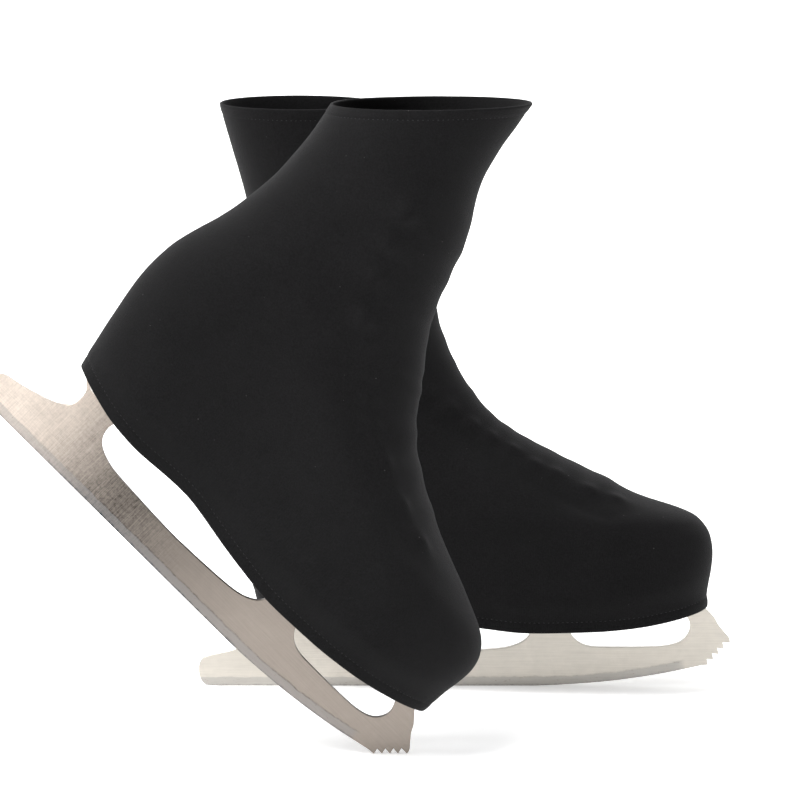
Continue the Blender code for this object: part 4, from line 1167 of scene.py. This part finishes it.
def build_sole(last):
    which = last.which

    def mid(x):
        return float(np.interp(x, MIDDLE[:, 0], MIDDLE[:, 1]))

    def width(inset, x0, x1, l0, l1, z):
        def f(x):
            w = float(last.half(np.array([x]), np.array([max(z(x), 50.0)]), inset)[0])
            near = superoval(x, x0, x1, l0, l1, 1.0, 2.4)
            return max(w, 4.5) * (0.0 if near <= 0 else min(1.0, near))
        return f

    def top(x):
        return float(soletop(np.array([x]))[0])

    edge = [(1.6, 0.0), (0.5, 0.06), (0.1, 0.22), (0.0, 0.36), (0.45, 0.44), (0.0, 0.52), (0.0, 0.8), (0.5, 0.95), (1.6, 1.0)]
    sole = slab(f"{which}_leather_outsole", which, cosine(-86.5, 138.4, 90), width(4.0, -86.5, 138.4, 9, 9, lambda x: top(x) - SOLE_T), mid,
                lambda x: top(x) - SOLE_T, top, edge, SOLE, f"{which}_foot")
    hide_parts(f"{which}_outsole")
    prof = [(1.2, 0.0), (0.2, 0.04)]
    for i in range(6):
        a = 0.05 + i * 0.155
        prof += [(0.0, a + 0.02), (0.0, a + 0.13), (0.35, a + 0.145)]
    prof += [(0.0, 0.985), (0.4, 1.0)]
    heel = slab(f"{which}_stacked_heel", which, cosine(-81.6, -30, 48), width(5.6, -81.6, -30, 7, 5, lambda x: 60.0), mid,
                lambda x: HEEL_PLATE_Z + PLATE_T + GAP, lambda x: top(x) - SOLE_T - GAP, prof, HEEL, f"{which}_foot")
    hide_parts(f"{which}_heel_block")
    f0 = 2 * GAP + INSOLE_T
    bed = slab(f"{which}_cloth_footbed", which, cosine(-80, 129, 80), width(12.2, -80, 129, 9, 9, lambda x: top(x) + f0), mid,
               lambda x: top(x) + f0, lambda x: top(x) + f0 + FOOTBED_T, [(0.6, 0.0), (0.0, 0.2), (0.0, 0.7), (0.5, 0.92), (1.4, 1.0), (5.0, 0.985)],
               FOAM, f"{which}_foot")
    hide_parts(f"{which}_footbed")

    # screws: pan heads with a slotted recess
    def screws(name, places, z, length):
        verts, faces = [], []
        seg = 28
        for i, (x, y) in enumerate(places):
            base = len(verts)
            turn = 0.5 + 1.3 * i
            prof = [(0.0, -1.5), (0.7, -1.5), (0.78, -2.42), (1.9, -2.3), (2.7, -2.05), (3.3, -1.5), (3.5, -0.9), (3.5, -GAP),
                    (1.9, -GAP), (1.9, length - 3), (0.9, length - 0.9), (0.0, length)]
            for k, (r, h) in enumerate(prof):
                if r == 0.0:
                    verts.append((x, y, z + h))
                    continue
                for g in range(seg):
                    w = 2 * math.pi * g / seg
                    rr = r
                    if k in (1, 2):
                        rr = r + 1.05 * max(0.0, math.cos(2 * (w - turn))) ** 6
                    verts.append((x + rr * math.cos(w), y + rr * math.sin(w), z + h))
            first, end = base, len(verts) - 1
            ring = [base + 1 + i * seg for i in range(len(prof) - 2)]
            for a, b in zip(ring, ring[1:]):
                for g in range(seg):
                    faces.append((a + g, a + (g + 1) % seg, b + (g + 1) % seg, b + g))
            for g in range(seg):
                faces.append((first, ring[0] + (g + 1) % seg, ring[0] + g))
                faces.append((end, ring[-1] + g, ring[-1] + (g + 1) % seg))
        ob = mesh_piece(name, which, verts, faces)
        bm = bmesh.new()
        bm.from_mesh(ob.data)
        bmesh.ops.recalc_face_normals(bm, faces=bm.faces)
        bm.to_mesh(ob.data)
        bm.free()
        ob = settle(ob, which, SCREW)
        sharp(ob, 35)
        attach(ob, f"{which}_foot")
        return ob

    a = screws(f"{which}_toe_screws", [(62, 17), (62, -17), (104, 15), (104, -19)], TOE_PLATE_Z, 7.6)
    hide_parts(*[f"{which}_toe_plate_screw_{i}" for i in range(1, 5)])
    b = screws(f"{which}_heel_screws", [(-50, 16), (-50, -16), (-78, 11), (-78, -11)], HEEL_PLATE_Z, 16)
    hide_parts(*[f"{which}_heel_plate_screw_{i}" for i in range(1, 5)])


for which in ("left", "right"):
    _, last = build_cover(which)
    build_boot(last)
    build_blade(which)
    build_sole(last)
    # the CAD pieces that stay get their materials
    for part, mat in (("toe_plate", PLATE), ("heel_plate", PLATE), ("insole_board", BOARD)):
        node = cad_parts[f"{which}_{part}"]
        node.data.materials.clear()
        node.data.materials.append(mat)

# ---------------------------------------------------------------- floor, light and camera
prof = [(y, 0.0) for y in (-6.0, -3.0, -1.5, -0.5, -0.2, 0.1, 0.4, 0.8, 1.2, 1.7)] + [(2.2 + 1.6 * math.sin(a), 1.6 - 1.6 * math.cos(a)) for a in np.linspace(0, math.pi / 2, 24)] + [(3.8, 5.0)]
me = bpy.data.meshes.new("floor")
vs = [(sx, y, z) for y, z in prof for sx in (-5.0, 5.0)]
me.from_pydata(vs, [], [(2 * i, 2 * i + 1, 2 * i + 3, 2 * i + 2) for i in range(len(prof) - 1)])
me.shade_smooth()
floor = bpy.data.objects.new("floor", me)
bpy.context.scene.collection.objects.link(floor)
fl = Nodes("pale_floor", 0.9, 0.0, (0.93, 0.93, 0.93))
flv = fl.noise(fl.node("ShaderNodeTexCoord").outputs["Object"], 30.0, 2.0)
fl.done(fl.mix(fl.span(flv, 0.3, 0.7, 0.0, 1.0, "LINEAR"), (0.925, 0.925, 0.925), (0.935, 0.935, 0.935)), Specular_IOR_Level=0.1, Emission_Color=(1, 1, 1, 1))
me.materials.append(fl.m)
flx, fly, flz = fl.parts(fl.node("ShaderNodeTexCoord").outputs["Object"])
fl.set(fl.b, "Emission Strength", fl.span(fly, 0.2, 1.6, 0.42, 0.85))

world = bpy.context.scene.world or bpy.data.worlds.new("studio")
bpy.context.scene.world = world
world.use_nodes = True
bg = world.node_tree.nodes.get("Background") or world.node_tree.nodes.new("ShaderNodeBackground")
bg.inputs["Color"].default_value = (1, 1, 1, 1)
bg.inputs["Strength"].default_value = 0.30


def area(name, at, aim, size, power):
    li = bpy.data.lights.new(name, "AREA")
    li.shape = "DISK"
    li.size = size
    li.energy = power
    ob = bpy.data.objects.new(name, li)
    bpy.context.scene.collection.objects.link(ob)
    ob.location = at
    ob.rotation_euler = (Vector(aim) - Vector(at)).to_track_quat("-Z", "Y").to_euler()
    return ob


area("key", (-1.15, -0.8, 2.2), (0, 0, 0.15), 1.8, 84)
area("fill", (1.3, -1.2, 2.0), (0, 0, 0.15), 1.8, 16)
area("rim", (-1.6, 1.4, 1.9), (0, 0, 0.15), 1.0, 12)

cam_data = bpy.data.cameras.new("camera")
cam = bpy.data.objects.new("camera", cam_data)
bpy.context.scene.collection.objects.link(cam)
cam.location = (0.0171, -3.3743, 0.6099)
cam.rotation_euler = (Vector((0.0171, 0.095, 0.147)) - cam.location).to_track_quat("-Z", "Y").to_euler()
cam_data.lens = 309.8
cam_data.sensor_width = 36.0
cam_data.clip_start = 0.1
cam_data.clip_end = 60
bpy.context.scene.camera = cam
bpy.context.scene.view_settings.view_transform = "Standard"
bpy.context.scene.view_settings.look = "None"
